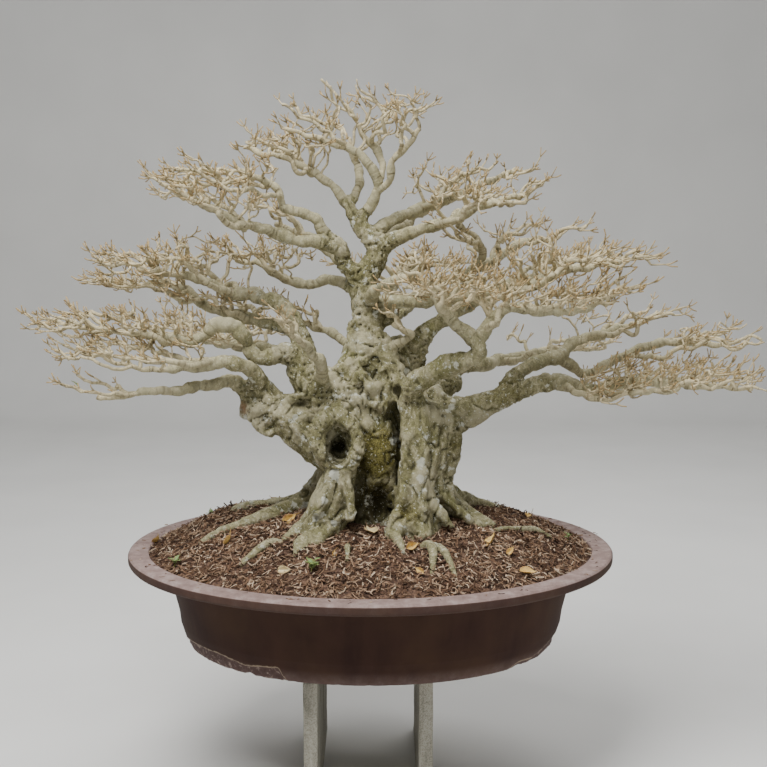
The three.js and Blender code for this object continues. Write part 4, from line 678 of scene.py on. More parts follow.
def soil_top(x, y):
    """Height of the mound over the lip's top, in millimetres; also for whole arrays."""
    share = np.minimum(1.0, np.hypot(x / SOIL_EDGE, y / SOIL_DEEP))
    ridges = bump(x, y, -290, 110, 110, 90, 14) + bump(x, y, 250, 120, 120, 90, 8)
    lumps = 2.2 * np.sin(x / 31) * np.cos(y / 27) + 1.4 * np.sin((x + 2 * y) / 17)
    return -6 + MOUND_RISE * (1 - share ** 3) + (ridges + lumps) * np.minimum(1.0, 4 * (1 - share))


def ground_at(x, y, reach):
    """The turn that lays a thing flat on the mound, by the mound's slope over that reach."""
    slope_x = float(soil_top(x + reach, y) - soil_top(x - reach, y)) / (2 * reach)
    slope_y = float(soil_top(x, y + reach) - soil_top(x, y - reach)) / (2 * reach)
    return Vector((-slope_x, -slope_y, 1)).to_track_quat("Z", "Y").to_matrix().to_4x4()


def turn_by(*angles):
    return Euler(angles).to_matrix().to_4x4()


def smooth_course(points, step):
    """Points about one step apart on the smooth curve through the given ones; the last number of
    each result is the row that it has reached."""
    points = np.asarray(points, dtype=float)
    made = [[*points[0], 0.0]]
    last = len(points) - 1
    for i in range(last):
        b, c = points[i], points[i + 1]
        a = points[i - 1] if i > 0 else 2 * b - c
        d = points[i + 2] if i + 2 <= last else 2 * c - b
        span = c - b
        count = max(1, math.ceil(math.sqrt(span[0] * span[0] + span[1] * span[1] + span[2] * span[2]) / step))
        for k in range(1, count + 1):
            t = k / count
            at = 0.5 * (
                2 * b + (c - a) * t + (2 * a - 5 * b + 4 * c - d) * t * t + (3 * b - a - 3 * c + d) * t * t * t)
            radius = b[3] + (c[3] - b[3]) * t
            made.append([at[0], at[1], at[2], radius, i + t])
    return np.array(made)


def limb_course(rows, step):
    return smooth_course([(*placed(u, depth, v), r) for u, depth, v, r in rows], step)


def root_course(rows, step):
    return smooth_course([(x, y, float(soil_top(x, y)) + lift + 2.0, 1.2 * r) for x, y, lift, r in rows], step)


# Twigs grow from a bough towards buds scattered in its pads, as they do in the solids.
GROWTH_STEP = 9.0
GROWTH_REACH = 11.0
BUD_SPACING = 17.0
WANDER = 0.42
LIFT = 0.16
ROUNDS = 60
TIP_RADIUS = 1.05

# Radius in millimetres from which wood is old, and of the twigs that are round rather than square.
OLD_WOOD = 20.0
ROUND_TWIG = 2.6


class Draws:
    """Seeded draws between 0 and 1."""

    def __init__(self, seed):
        self.state = seed

    def __call__(self):
        self.state = (self.state * 16807) % 2147483647
        return self.state / 2147483647


def scatter_buds(pads, draw):
    buds = []
    for u, depth, v, wide, deep, tall in pads:
        centre = placed(u, depth, v)
        volume = 4.18879 * wide * deep * tall * 0.72
        count = math.floor(volume / BUD_SPACING ** 3 + 0.5)
        made = 0
        while made < count:
            x, y, z = 2 * draw() - 1, 2 * draw() - 1, 2 * draw() - 1
            if x * x + y * y + z * z <= 1:
                squash = 0.45 if z < 0 else 1
                buds.append((centre[0] + x * wide, centre[1] + y * deep, centre[2] + z * tall * squash))
                made += 1
    return np.array(buds)


def grow_twigs(path, pads, seed):
    """Wood that grows from a bough towards the buds of its pads: places, parents and, for the
    bough itself, radii."""
    draw = Draws(seed)
    wood = [tuple(p[:3]) for p in path]
    parents = list(range(-1, len(path) - 1))
    radii = [p[3] for p in path]
    buds = scatter_buds(pads, draw)
    near = np.full(len(buds), -1)
    nearest = np.full(len(buds), np.inf)
    fresh = 0
    for _ in range(ROUNDS):
        if len(buds) == 0:
            break
        new = np.array(wood[fresh:])
        gap = new[None, :, :] - buds[:, None, :]
        square = gap[:, :, 0] * gap[:, :, 0] + gap[:, :, 1] * gap[:, :, 1] + gap[:, :, 2] * gap[:, :, 2]
        best = np.argmin(square, axis=1)
        least = square[np.arange(len(buds)), best]
        closer = least < nearest
        near[closer] = best[closer] + fresh
        nearest[closer] = least[closer]
        kept = nearest > GROWTH_REACH * GROWTH_REACH
        buds, near, nearest = buds[kept], near[kept], nearest[kept]
        if len(buds) == 0:
            break
        places = np.array(wood)
        pull = (buds - places[near]) / np.sqrt(nearest)[:, None]
        sums = [np.bincount(near, weights=pull[:, axis], minlength=len(wood)) for axis in range(3)]
        fresh = len(wood)
        for source in np.unique(near):
            px, py, pz = (float(total[source]) for total in sums)
            pulled = math.sqrt(px * px + py * py + pz * pz)
            wx, wy, wz = ((2 * draw() - 1) * WANDER for _ in range(3))
            x = px / pulled + wx
            y = py / pulled + wy
            z = pz / pulled + wz + LIFT
            length = math.sqrt(x * x + y * y + z * z)
            if pulled > 0.05 and length > 0.2:
                sx, sy, sz = wood[source]
                wood.append((sx + (x / length) * GROWTH_STEP, sy + (y / length) * GROWTH_STEP,
                             sz + (z / length) * GROWTH_STEP))
                parents.append(int(source))
                radii.append(0.0)
        if len(wood) == fresh:
            break
    return np.array(wood), parents, radii


def twigs_of(wood, parents, radii):
    """The twigs, each with the numbers of its wood and its rows of (x, y, z, radius): the longest
    way out of a fork goes on as the same twig, and its wood carries what grows from it."""
    count = len(wood)
    reach = [0] * count
    section = [0.0] * count
    heir = [-1] * count
    for i in range(count - 1, -1, -1):
        section[i] = max(section[i], TIP_RADIUS * TIP_RADIUS)
        parent = parents[i]
        if parent >= 0:
            section[parent] += section[i]
            if reach[i] + 1 > reach[parent]:
                reach[parent] = reach[i] + 1
                heir[parent] = i
    for _ in range(2):
        eased = wood.copy()
        for i in range(count):
            if radii[i] == 0 and heir[i] >= 0:
                eased[i] = (wood[parents[i]] + 2 * wood[i] + wood[heir[i]]) / 4
        wood = eased
    twigs = []
    for i in range(count):
        parent = parents[i]
        if radii[i] == 0 and (radii[parent] > 0 or heir[parent] != i):
            line = [parent]
            k = i
            while k >= 0:
                line.append(k)
                k = heir[k]
            root = 0.72 * radii[parent] if radii[parent] > 0 else 0.9 * math.sqrt(section[parent])
            rows = [(*wood[k], min(root, math.sqrt(section[i if order == 0 else k]))) for order, k in enumerate(line)]
            twigs.append((line, np.array(rows)))
    return twigs


def pruned(twigs, standing, fewest, draw):
    """The twigs that are drawn: most of the long ones and few of the short ones, and none that
    has lost the wood that it stands on."""
    size = settings().tree
    kept = []
    for line, twig in twigs:
        share = (len(twig) - size.shortest_twig) / (size.long_twig - size.shortest_twig)
        if line[0] in standing and 0 <= share and draw.random() < fewest + share:
            standing.update(line)
            kept.append(twig)
    return kept


def linked(name, data):
    """A new object in the scene."""
    made = bpy.data.objects.new(name, data)
    bpy.context.scene.collection.objects.link(made)
    return made


def add_modifier(thing, kind, **values):
    made = thing.modifiers.new(kind.lower(), kind)
    for name, value in values.items():
        setattr(made, name, value)


def add_piece(mesh, name, material, slot, *nodes):
    """Puts a finished mesh in the scene as a piece that stands for the nodes, if there are any."""
    piece = linked(name, mesh)
    mesh.materials.clear()
    mesh.materials.append(material)
    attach(piece, "root")
    if any(nodes):
        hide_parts(*nodes)
    return piece


def mesh_from(bm, name, smooth=True):
    mesh = bpy.data.meshes.new(name)
    bm.to_mesh(mesh)
    bm.free()
    mesh.polygons.foreach_set("use_smooth", [smooth] * len(mesh.polygons))
    return mesh


def pour(part, whole):
    """Adds one mesh in the making to another one."""
    mesh = mesh_from(part, "part")
    whole.from_mesh(mesh)
    bpy.data.meshes.remove(mesh)


def finished(thing):
    """The smooth mesh of an object with its modifiers applied; the object itself is removed."""
    bpy.context.view_layer.update()
    mesh = bpy.data.meshes.new_from_object(thing.evaluated_get(bpy.context.evaluated_depsgraph_get()))
    mesh.polygons.foreach_set("use_smooth", [True] * len(mesh.polygons))
    data = thing.data
    bpy.data.objects.remove(thing)
    (bpy.data.curves if isinstance(data, bpy.types.Curve) else bpy.data.meshes).remove(data)
    return mesh


def tube_mesh(courses, resolution, name):
    """Closed round tubes along courses of (x, y, z, radius) in millimetres."""
    curve = bpy.data.curves.new(name, "CURVE")
    curve.dimensions = "3D"
    curve.bevel_depth = MM
    curve.bevel_resolution = resolution
    curve.use_fill_caps = True
    for course in courses:
        spline = curve.splines.new("POLY")
        spline.points.add(len(course) - 1)
        places = np.ones((len(course), 4))
        places[:, :3] = course[:, :3] * MM + HOME_SPOT
        spline.points.foreach_set("co", places.ravel())
        spline.points.foreach_set("radius", np.ascontiguousarray(course[:, 3]))
    mesh = finished(linked(name, curve))
    bm = bmesh.new()
    bm.from_mesh(mesh)
    bpy.data.meshes.remove(mesh)
    bmesh.ops.remove_doubles(bm, verts=bm.verts, dist=2e-6)
    bmesh.ops.recalc_face_normals(bm, faces=bm.faces)
    return bm


def geometry(bm):
    return [*bm.verts, *bm.edges, *bm.faces]


def soften(bm, geom, affect, offset, segments=3):
    bmesh.ops.bevel(
        bm, geom=geom, affect=affect, offset=offset, offset_type="OFFSET", segments=segments, profile=0.5,
        material=-1)


def vertex_places(mesh):
    """The places of the vertices in millimetres from the middle of the lip."""
    places = np.empty(len(mesh.vertices) * 3)
    mesh.vertices.foreach_get("co", places)
    return (places.reshape(-1, 3) - HOME_SPOT) / MM


def vertex_normals(mesh):
    normals = np.empty(len(mesh.vertices) * 3)
    mesh.vertex_normals.foreach_get("vector", normals)
    return normals.reshape(-1, 3)


def set_share(mesh, name, values):
    """Keeps one number a vertex for the materials."""
    layer = mesh.attributes.new(name, "FLOAT", "POINT")
    layer.data.foreach_set("value", np.ascontiguousarray(values, dtype=np.float32))


def set_wood(mesh, rows):
    """Keeps how far along its limb each vertex lies, in metres, and how thick the limb is there."""
    set_share(mesh, "along", rows[:, 4] * MM)
    set_share(mesh, "girth", np.clip(rows[:, 3] / OLD_WOOD, 0, 1))


def near_tree(rows):
    """Finds the row that is nearest to a place."""
    tree = KDTree(len(rows))
    for i, row in enumerate(rows):
        tree.insert(row[:3], i)
    tree.balance()
    return tree


class Skeleton:
    """The courses of a piece of wood, for finding how far along and how thick the wood is."""

    def __init__(self, courses):
        rows = []
        start = 0.0
        for course in courses:
            places = course[:, :3]
            lengths = np.linalg.norm(np.diff(places, axis=0), axis=1)
            along = start + np.concatenate([[0.0], np.cumsum(lengths)])
            tangents = np.gradient(places, axis=0)
            tangents /= np.maximum(1e-9, np.linalg.norm(tangents, axis=1))[:, None]
            rows.append(np.column_stack([places, course[:, 3], along, tangents]))
            start += 977.0
        self.rows = np.vstack(rows)

    def by_surface(self, places):
        """The skeleton's row for each place, by the gap to the wood's surface."""
        found = np.empty(len(places), dtype=int)
        for start in range(0, len(places), 2000):
            block = places[start:start + 2000]
            gap = np.linalg.norm(block[:, None, :] - self.rows[None, :, :3], axis=2) - self.rows[None, :, 3]
            found[start:start + len(block)] = np.argmin(gap, axis=1)
        return self.rows[found]

    def by_middle(self, places):
        """The skeleton's row for each place, by the gap to the wood's middle."""
        tree = near_tree(self.rows)
        return self.rows[[tree.find(place)[1] for place in places]]


def bark_relief(places, rows, height):
    """How far each place of the bark stands out, in millimetres: lumps, knobs, long fibres that
    follow the limb, and wrinkles across the thinner limbs."""
    out = np.empty(len(places))
    for i, (place, row) in enumerate(zip(places, rows)):
        girth = row[3]
        tangent = row[5:8]
        spot = Vector(place)
        size = min(1.0, girth / 30)
        thick = min(1.0, max(0.0, (girth - 9) / 14))
        way = float(place @ tangent)
        run = Vector(place - tangent * (way * 0.86))
        strand = Vector(place - tangent * (way * 0.6)) + noise.noise_vector(spot / 40) * 9
        bulge = noise.fractal(spot / 46, 0.9, 2.1, 3) * (0.45 + 0.8 * size)
        bulge += (1 - 2 * abs(noise.noise(run / 15))) * 0.5 * size
        bulge += noise.fractal(strand / 13, 0.8, 2.1, 2) * 0.55 * thick
        bulge -= max(0.0, 1 - abs(noise.noise(strand / 26)) / 0.1) * 1.2 * thick
        if thick < 1:
            cross = Vector(tangent) * (row[4] / 7.0) + (spot - Vector(tangent) * float(place @ tangent)) / 30
            bulge -= abs(noise.noise(cross)) * 0.45 * (1 - thick) * min(1.0, girth / 8)
        out[i] = height * bulge
    return out


def raise_bark(mesh, places, rows, height):
    """Moves the vertices and their places out by the bark's relief, and gives the relief."""
    relief = bark_relief(places, rows, height)
    places += vertex_normals(mesh) * relief[:, None]
    mesh.vertices.foreach_set("co", (places * MM + HOME_SPOT).ravel())
    mesh.update()
    return relief


def fold_depth(mesh, places, reach):
    """How deep each vertex lies in a fold, in millimetres; on a crest it is below 0."""
    edges = np.empty(len(mesh.edges) * 2, dtype=int)
    mesh.edges.foreach_get("vertices", edges)
    edges = edges.reshape(-1, 2)
    smooth = places.copy()
    for _ in range(reach):
        total = np.zeros_like(places)
        count = np.zeros(len(places))
        np.add.at(total, edges[:, 0], smooth[edges[:, 1]])
        np.add.at(total, edges[:, 1], smooth[edges[:, 0]])
        np.add.at(count, edges[:, 0], 1)
        np.add.at(count, edges[:, 1], 1)
        smooth = total / np.maximum(1, count)[:, None]
    return ((smooth - places) * vertex_normals(mesh)).sum(axis=1)


def spread(places, spots, fade):
    """The most that the fade gives to each place, by its gap to each spot's middle as a share of
    the spot's reach."""
    most = np.zeros(len(places))
    for centre, reach, *much in spots:
        gap = np.linalg.norm((places - np.array(centre)) / np.array(reach), axis=1)
        most = np.maximum(most, fade(gap, *much))
    return most


def side_limbs(limb, pads, draw):
    """Courses of the side limbs that leave a bough ahead of each pad and run out through it."""
    made = []
    for u, depth, v, wide, deep, tall in pads:
        centre = np.array(placed(u, depth, v))
        near = int(np.argmin(np.linalg.norm(limb[:, :3] - centre, axis=1)))
        heading = limb[near, :3] - limb[max(0, near - 14), :3]
        heading[2] *= 0.4
        heading /= max(1e-6, np.linalg.norm(heading))
        for side in (-1, 1):
            start = limb[max(0, near - int(draw.uniform(0.45, 0.95) * wide / 3))]
            aside = np.array([0.0, side * deep * draw.uniform(0.3, 0.65), 0.0])
            sunk = np.array([0.0, 0.0, tall])
            root = min(0.6 * start[3], 6.0)
            rows = np.array([
                (*start[:3], root),
                (*((start[:3] + centre) / 2 + aside * 0.8 - sunk * draw.uniform(0.1, 0.4)), root * 0.85),
                (*(centre + aside - sunk * draw.uniform(0.0, 0.4)), root * 0.66),
                (*(centre + aside * 1.2 + heading * wide * draw.uniform(0.5, 0.8) + sunk * 0.15), 1.9)])
            made.append(smooth_course(rows, 9.0)[:, :4])
    return made


def swayed(place, share):
    sway = noise.noise_vector(Vector(place / 27)) * 15.0 + noise.noise_vector(Vector(place / 12)) * 4.0
    return place + np.array(sway) * share


LIMB_SWAY = 0.4


def sinuous(places, limb):
    """Places of twigs swayed to and fro; beside the limb they go with it, and further off freely."""
    tree = near_tree(limb)
    made = []
    for place in places:
        _, i, gap = tree.find(place)
        held = LIMB_SWAY * min(1.0, i / 24)
        made.append(swayed(place, held + (1 - held) * min(1.0, max(0.0, gap - limb[0, 3] * 0.3) / 30)))
    return made


def inside_pads(point, pads, spare):
    for u, depth, v, wide, deep, tall in pads:
        x, y, z = (point - np.array(placed(u, depth, v))) / (wide, deep, tall)
        if x * x + y * y + z * z * (1 if z > 0 else 4.9) < spare:
            return True
    return False


def unit(vector):
    return vector / max(1e-6, math.sqrt(float(vector @ vector)))


UP = np.array([0.0, 0.0, 1.0])


def forked(start, heading, radius, side, draw):
    """A side twig: a stem that turns outwards and up, and the blunt fingers at its fork."""
    length = settings().tree.shoot_length / MM * draw.uniform(0.65, 1.25)
    outward = (start - np.array([20.0, -10.0, start[2]])) / 420
    heading = unit(heading)
    across = unit(np.cross(heading, UP))
    lean = heading + across * (side * draw.uniform(0.5, 1.0)) + 0.6 * outward + UP * draw.uniform(0.1, 0.6)
    radius = min(radius * 0.9, 1.6)
    rows = [(*start, radius)]
    at = start
    for step in range(3):
        lean = unit(unit(lean) + draw.normal(0, 0.17, 3) + 0.14 * UP + 0.1 * outward)
        at = at + lean * length / 3
        rows.append((*at, radius * (0.95 - 0.04 * step)))
    made = [np.array(rows)]
    fingers = 2 + int(draw.random() < 0.45)
    plane = unit(np.cross(lean, draw.normal(0, 1, 3)))
    for k in range(fingers):
        spread = (k - (fingers - 1) / 2) * draw.uniform(0.7, 1.2)
        turned = unit(lean + plane * spread + draw.normal(0, 0.12, 3))
        rows = [(*at, radius * 0.86)]
        spot = at
        for step in range(2):
            spot = spot + turned * length * draw.uniform(0.28, 0.46)
            rows.append((*spot, radius * (0.76 - 0.1 * step)))
            turned = unit(turned + 0.28 * UP + draw.normal(0, 0.15, 3))
        made.append(np.array(rows))
    return made


# The share of the twigs that is kept beyond what their length decides, by spray.
FULLNESS = {
    "front_right": 0.7, "big_right": 0.7, "right_long": 0.6, "crown_left": 0.1, "upper_right": 0.1,
    "low_left_back": 0.15, "low_left_front": 0.1, "lowest_left": -0.15, "apex_left": -0.15,
    "upper_left_leader": -0.15, "right_riser": -0.2, "upper_right_back": -0.3, "back_right": -0.3,
    "hind_upper_right": -0.45, "hind_middle": -0.4, "hind_apex": -0.4, "hind_upper_left": -0.3,
    "hind_right_low": -0.3,
}


def bough_parts(bough, order):
    """The limb from its stub outwards, a little of it inside the trunk, its twigs and shoots."""
    size = settings().tree
    limb = limb_course(bough.rows, 3.0)
    limb = limb[limb[:, 4] >= bough.stub - 0.35] if bough.stub else limb
    path = limb_course(bough.rows, GROWTH_STEP)
    path = path[path[:, 4] >= bough.stub]
    wood, parents, radii = grow_twigs([tuple(p[:4]) for p in path[3:]], bough.pads, 4001 + 37 * order)
    draw = np.random.default_rng(901 + order)
    cover = size.bark_cover / MM
    courses = []
    shoots = []
    standing = {i for i, radius in enumerate(radii) if radius > 0}
    fewest = FULLNESS.get(bough.host, 0.0)
    for twig in side_limbs(limb, bough.pads, draw) + pruned(twigs_of(wood, parents, radii), standing, fewest, draw):
        twig[:, :3] = sinuous(twig[:, :3], limb)
        course = smooth_course(twig, 5.5)[:, :4]
        course[:, 3] += cover
        courses.append(course)
        side = 1
        gone = draw.uniform(0, size.shoot_gap / MM)
        for i in range(1, len(course)):
            step = course[i, :3] - course[i - 1, :3]
            gone += math.sqrt(float(step @ step))
            ends = i == len(course) - 1
            due = gone > size.shoot_gap / MM and course[i, 3] < 5
            if ends or (due and inside_pads(course[i, :3], bough.pads, 1.2)):
                shoots += forked(course[i, :3], step, course[i, 3], 0 if ends else side, draw)
                side = -side
                gone = 0.0
    for i, row in enumerate(limb):
        row[3] *= 1 + 0.34 * noise.noise(Vector(row[:3] / 19)) * min(1.0, i / 12)
        row[:3] = swayed(row[:3], LIMB_SWAY * min(1.0, i / 24))
    return limb, courses, shoots


def inside_box(courses):
    """Only the shoots that stay in the room that the solids take up."""
    low, high = np.array(SOLIDS_LOW), np.array(SOLIDS_HIGH)
    kept = []
    for course in courses:
        places = course[:, :3] * MM + HOME_SPOT
        if (places > low).all() and (places < high).all():
            kept.append(course)
    return kept


def hollow_solid():
    """Rough ellipsoids that the trunk's hollows are cut with."""
    bm = bmesh.new()
    for centre, size in HOLLOWS:
        matrix = Matrix.Translation(at_home(*centre)) @ Matrix.Diagonal((*(s * MM for s in size), 1.0))
        made = bmesh.ops.create_icosphere(bm, subdivisions=4, radius=1.0, matrix=matrix)
        for vert in made["verts"]:
            away = vert.co - at_home(*centre)
            vert.co += away.normalized() * noise.noise(vert.co / 0.022) * 0.006
    solid = linked("hollows", mesh_from(bm, "hollows"))
    add_modifier(solid, "REMESH", mode="VOXEL", voxel_size=settings().tree.wood_mesh)
    return solid


# The knot hole, the dark hollow between the columns, and the slit under the dead limb.
HOLLOWS = [
    (placed(-62, -112, 182), (21, 50, 28)),
    (placed(14, -100, 62), (30, 44, 54)),
    (placed(138, -20, 262), (26, 40, 6)),
]

# Round scars where limbs were cut: middle, outward direction, radius.
SCARS = [
    (placed(24, -26, 392), (0.1, -1.0, 0.1), 9.0),
    (placed(-228, -42, 262), (-0.75, -0.65, 0.1), 15.0),
    (placed(205, -44, 268), (0.1, -1.0, 0.0), 8.0),
]


def scar_lip(centre, facing, radius):
    """The roll of bark round a healed cut, as a closed course."""
    lay = Vector(facing).to_track_quat("Z", "Y")
    rows = []
    for k in range(25):
        turn = math.tau * k / 24
        spot = Vector(centre) + lay @ Vector((math.cos(turn) * radius, math.sin(turn) * radius, 0.0))
        rows.append((*spot, radius * 0.34))
    return np.array(rows)


# Places where moss covers the bark: middle, reach and how much.
MOSS = [
    (placed(12, -70, 176), 62, 1.0), (placed(14, -60, 100), 60, 0.75), (placed(64, -120, 60), 40, 0.7),
    (placed(98, 60, 330), 46, 0.55), (placed(150, -50, 200), 40, 0.45), (placed(-110, -60, 60), 30, 0.35),
    (placed(250, -30, 285), 60, 0.35), (placed(-40, -90, 30), 40, 0.5), (placed(40, -70, 250), 40, 0.4),
    (placed(-125, -40, 250), 60, 0.42), (placed(60, -90, 140), 46, 0.35), (placed(14, -50, 170), 62, 1.0),
]

# Rosettes of white lichen on the front of the trunk: middle (across, height) and radius.
ROSETTES = [
    ((42, 199), 9), ((-210, 276), 8), ((-139, 244), 7), ((95, 158), 11), ((92, 128), 9), ((-66, 136), 12),
    ((-102, 53), 9), ((-69, 42), 8), ((-84, 84), 7), ((104, 62), 8), ((-120, 64), 7), ((66, 330), 7), ((150, 262), 8),
]

# Burls and knuckles, as rows of wood with one place each.
BURLS = [
    (-20, -62, 322, 15), (3, -66, 301, 14), (-37, -62, 299, 14), (21, -56, 333, 13), (-10, -58, 350, 12),
    (31, -60, 303, 12), (-24, -66, 276, 12), (10, -68, 268, 12), (-50, -50, 336, 13), (30, -22, 352, 22),
    (46, -30, 330, 20), (40, -56, 282, 12), (-206, -52, 262, 17), (-182, -64, 276, 13), (-162, -66, 246, 15),
    (-140, -66, 282, 13), (-120, -72, 246, 13), (-98, -72, 298, 14), (120, -66, 262, 15), (150, -62, 236, 13),
    (166, -58, 262, 13), (66, -88, 262, 13),
]

# Painted shade: places in the shade between the columns, darkened almost to black: middle and reach.
SHADE_SPOTS = [(placed(-62, -80, 182), 26), (placed(12, -70, 78), 44), (placed(56, -90, 60), 22), (placed(48, -40, 210), 22)]


# The decimated trunk has this many triangles at the most.
TRUNK_TRIANGLES = 190000


class FIG_OT_trunk(bpy.types.Operator):
    """The trunk: fused columns, arches and folds, with its hollows, scars and flaring roots"""
    bl_idname = "fig_bonsai.trunk"
    bl_label = "Trunk"

    def execute(self, context):
        size = settings().tree
        limbs = [limb_course(rows, 4.0) for rows in WOOD]
        strands = [limb_course([(u, depth + 0.5 * r, v, r) for u, depth, v, r in rows], 4.0) for rows in FOLDS]
        for u, depth, v, r in BURLS:
            rows = [(u, depth, v - 0.5 * r, 0.75 * r), (u, depth - 0.2 * r, v, r), (u, depth, v + 0.5 * r, 0.75 * r)]
            strands.append(limb_course(rows, 4.0))
        for bough in BOUGHS:
            if bough.stub:
                inner = limb_course(bough.rows, 4.0)
                limbs.append(inner[inner[:, 4] <= bough.stub + 0.02])
        limbs += [root_course(rows, 4.0) for rows in TRUNK_ROOTS]

        # The wood is swollen by the melt, fused, and shrunk again, which fills narrow gaps.
        melt = size.melt / MM
        swollen = [course + (0, 0, 0, melt, 0) for course in limbs + strands]
        bm = tube_mesh(swollen + [scar_lip(*scar) + (0, 0, 0, melt) for scar in SCARS], 6, "trunk_tubes")
        wood = linked("trunk_wood", mesh_from(bm, "trunk_wood"))
        hollows = hollow_solid()
        voxels = {"mode": "VOXEL", "voxel_size": size.wood_mesh}
        add_modifier(wood, "REMESH", **voxels)
        add_modifier(wood, "SMOOTH", factor=0.5, iterations=4)
        add_modifier(wood, "DISPLACE", mid_level=0.0, strength=-size.melt)
        add_modifier(wood, "REMESH", **voxels)
        add_modifier(wood, "BOOLEAN", operation="DIFFERENCE", solver="EXACT", object=hollows)
        add_modifier(wood, "REMESH", **voxels)
        add_modifier(wood, "SMOOTH", factor=0.5, iterations=5)
        mesh = finished(wood)
        bpy.data.objects.remove(hollows)

        places = vertex_places(mesh)
        rows = Skeleton(limbs).by_surface(places)
        rows[:, 3] = np.maximum(rows[:, 3], np.clip(places[:, 2] - 52, 14, 24))
        relief = raise_bark(mesh, places, rows, size.relief / MM)
        set_wood(mesh, rows)
        # Painted highlight, with real bleaching: the bark is paler where its relief stands out.
        set_share(mesh, "crest", np.clip(relief / 2.4 - 0.15, 0, 1))
        set_share(mesh, "moss", spread(places, MOSS, lambda gap, much: much * np.exp(-gap ** 2 * 1.4)))
        # Painted shade: the creases, the inside of the hollows and the shaded places between the columns are darkened
        # by the fold share.
        creases = np.clip(fold_depth(mesh, places, 6) / 2.4, 0, 1) * 0.6
        creases += np.clip((fold_depth(mesh, places, 24) - 1.5) / 8, 0, 1) * 0.75
        hollow_shade = spread(places, HOLLOWS, lambda gap: np.clip(1.2 - gap, 0, 0.5) * 1.2)
        damp = spread(places, SHADE_SPOTS, lambda gap: 0.95 * np.exp(-gap ** 2 * 1.2))
        set_share(mesh, "fold", np.clip(creases + np.maximum(hollow_shade, damp), 0, 0.94))
        cuts = [(centre, radius) for centre, _, radius in SCARS[1:]]
        set_share(mesh, "cut_wood", spread(places, cuts, lambda gap: np.clip(1.3 - gap, 0, 1)) * 0.8)
        slide = (places[:, 1] - EYE.y) / -EYE.y
        seen = np.column_stack([EYE[axis] + (places[:, axis] - EYE[axis]) / slide for axis in (0, 2)])
        lichen = spread(seen, ROSETTES, lambda gap: np.clip(1.5 - gap, 0, 1))
        set_share(mesh, "rosette", lichen * (places[:, 1] < 0))
        wood = linked("trunk_wood", mesh)
        add_modifier(wood, "DECIMATE", ratio=min(1.0, TRUNK_TRIANGLES / (2 * len(mesh.polygons))))
        add_piece(finished(wood), "trunk_wood", bark(), "bark", "trunk")
        return {"FINISHED"}


class FIG_OT_sprays(bpy.types.Operator):
    """The boughs outside the trunk, each with all its twigs and newest shoots"""
    bl_idname = "fig_bonsai.sprays"
    bl_label = "Boughs and twigs"

    def execute(self, context):
        hosts = {}
        for order, bough in enumerate(BOUGHS):
            hosts.setdefault(bough.host, []).append(bough_parts(bough, order))
        for host, parts in hosts.items():
            limbs = [limb[:, :4] for limb, _, _ in parts]
            twigs = [course for _, courses, _ in parts for course in courses]
            shoots = inside_box([course for _, _, courses in parts for course in courses])
            mesh = mesh_from(tube_mesh(limbs, 4, "limbs"), "limbs")
            places = vertex_places(mesh)
            rows = Skeleton(limbs).by_surface(places)
            relief = raise_bark(mesh, places, rows, settings().tree.relief / MM)
            depth = fold_depth(mesh, places, 4)
            bm = bmesh.new()
            bm.from_mesh(mesh)
            bpy.data.meshes.remove(mesh)
            thick = [course for course in twigs if course[0, 3] > ROUND_TWIG]
            thin = [course for course in twigs if course[0, 3] <= ROUND_TWIG]
            for courses, roundness in ((thick, 1), (thin + shoots, 0)):
                if courses:
                    pour(tube_mesh(courses, roundness, "twigs"), bm)
            mesh = mesh_from(bm, f"boughs_{host}")
            twig_rows = Skeleton(twigs + shoots).by_middle(vertex_places(mesh)[len(places):])
            plain = np.zeros(len(twig_rows))
            set_wood(mesh, np.vstack([rows, twig_rows]))
            # Painted shade in the limbs' creases and, with real bleaching, a painted highlight on their crests.
            set_share(mesh, "fold", np.concatenate([np.clip(depth / 3.2, 0, 1) * 0.6, plain]))
            set_share(mesh, "crest", np.concatenate([np.clip(relief / 2 - 0.1, 0, 1), plain]))
            add_piece(mesh, f"boughs_{host}", bark(), "twig", f"spray_{host}")
        return {"FINISHED"}


class FIG_OT_surface_roots(bpy.types.Operator):
    """Roots that come up out of the mulch beside the trunk"""
    bl_idname = "fig_bonsai.surface_roots"
    bl_label = "Surface roots"

    def execute(self, context):
        for name, branches in LOOSE_ROOTS.items():
            courses = [root_course(rows, 2.5)[:, :4] for rows in branches]
            mesh = mesh_from(tube_mesh(courses, 4, name), name)
            places = vertex_places(mesh)
            rows = Skeleton(courses).by_surface(places)
            relief = raise_bark(mesh, places, rows, 3.0)
            rows[:, 3] = 0.75 * OLD_WOOD
            set_wood(mesh, rows)
            # Painted shade in the roots' creases and, with real bleaching, a painted highlight on their crests.
            set_share(mesh, "fold", np.clip(fold_depth(mesh, places, 4) / 3.2, 0, 1) * 0.5)
            set_share(mesh, "crest", np.clip(relief / 1.6, 0, 1))
            add_piece(mesh, name + "_bark", bark(), "bark", name)
        return {"FINISHED"}


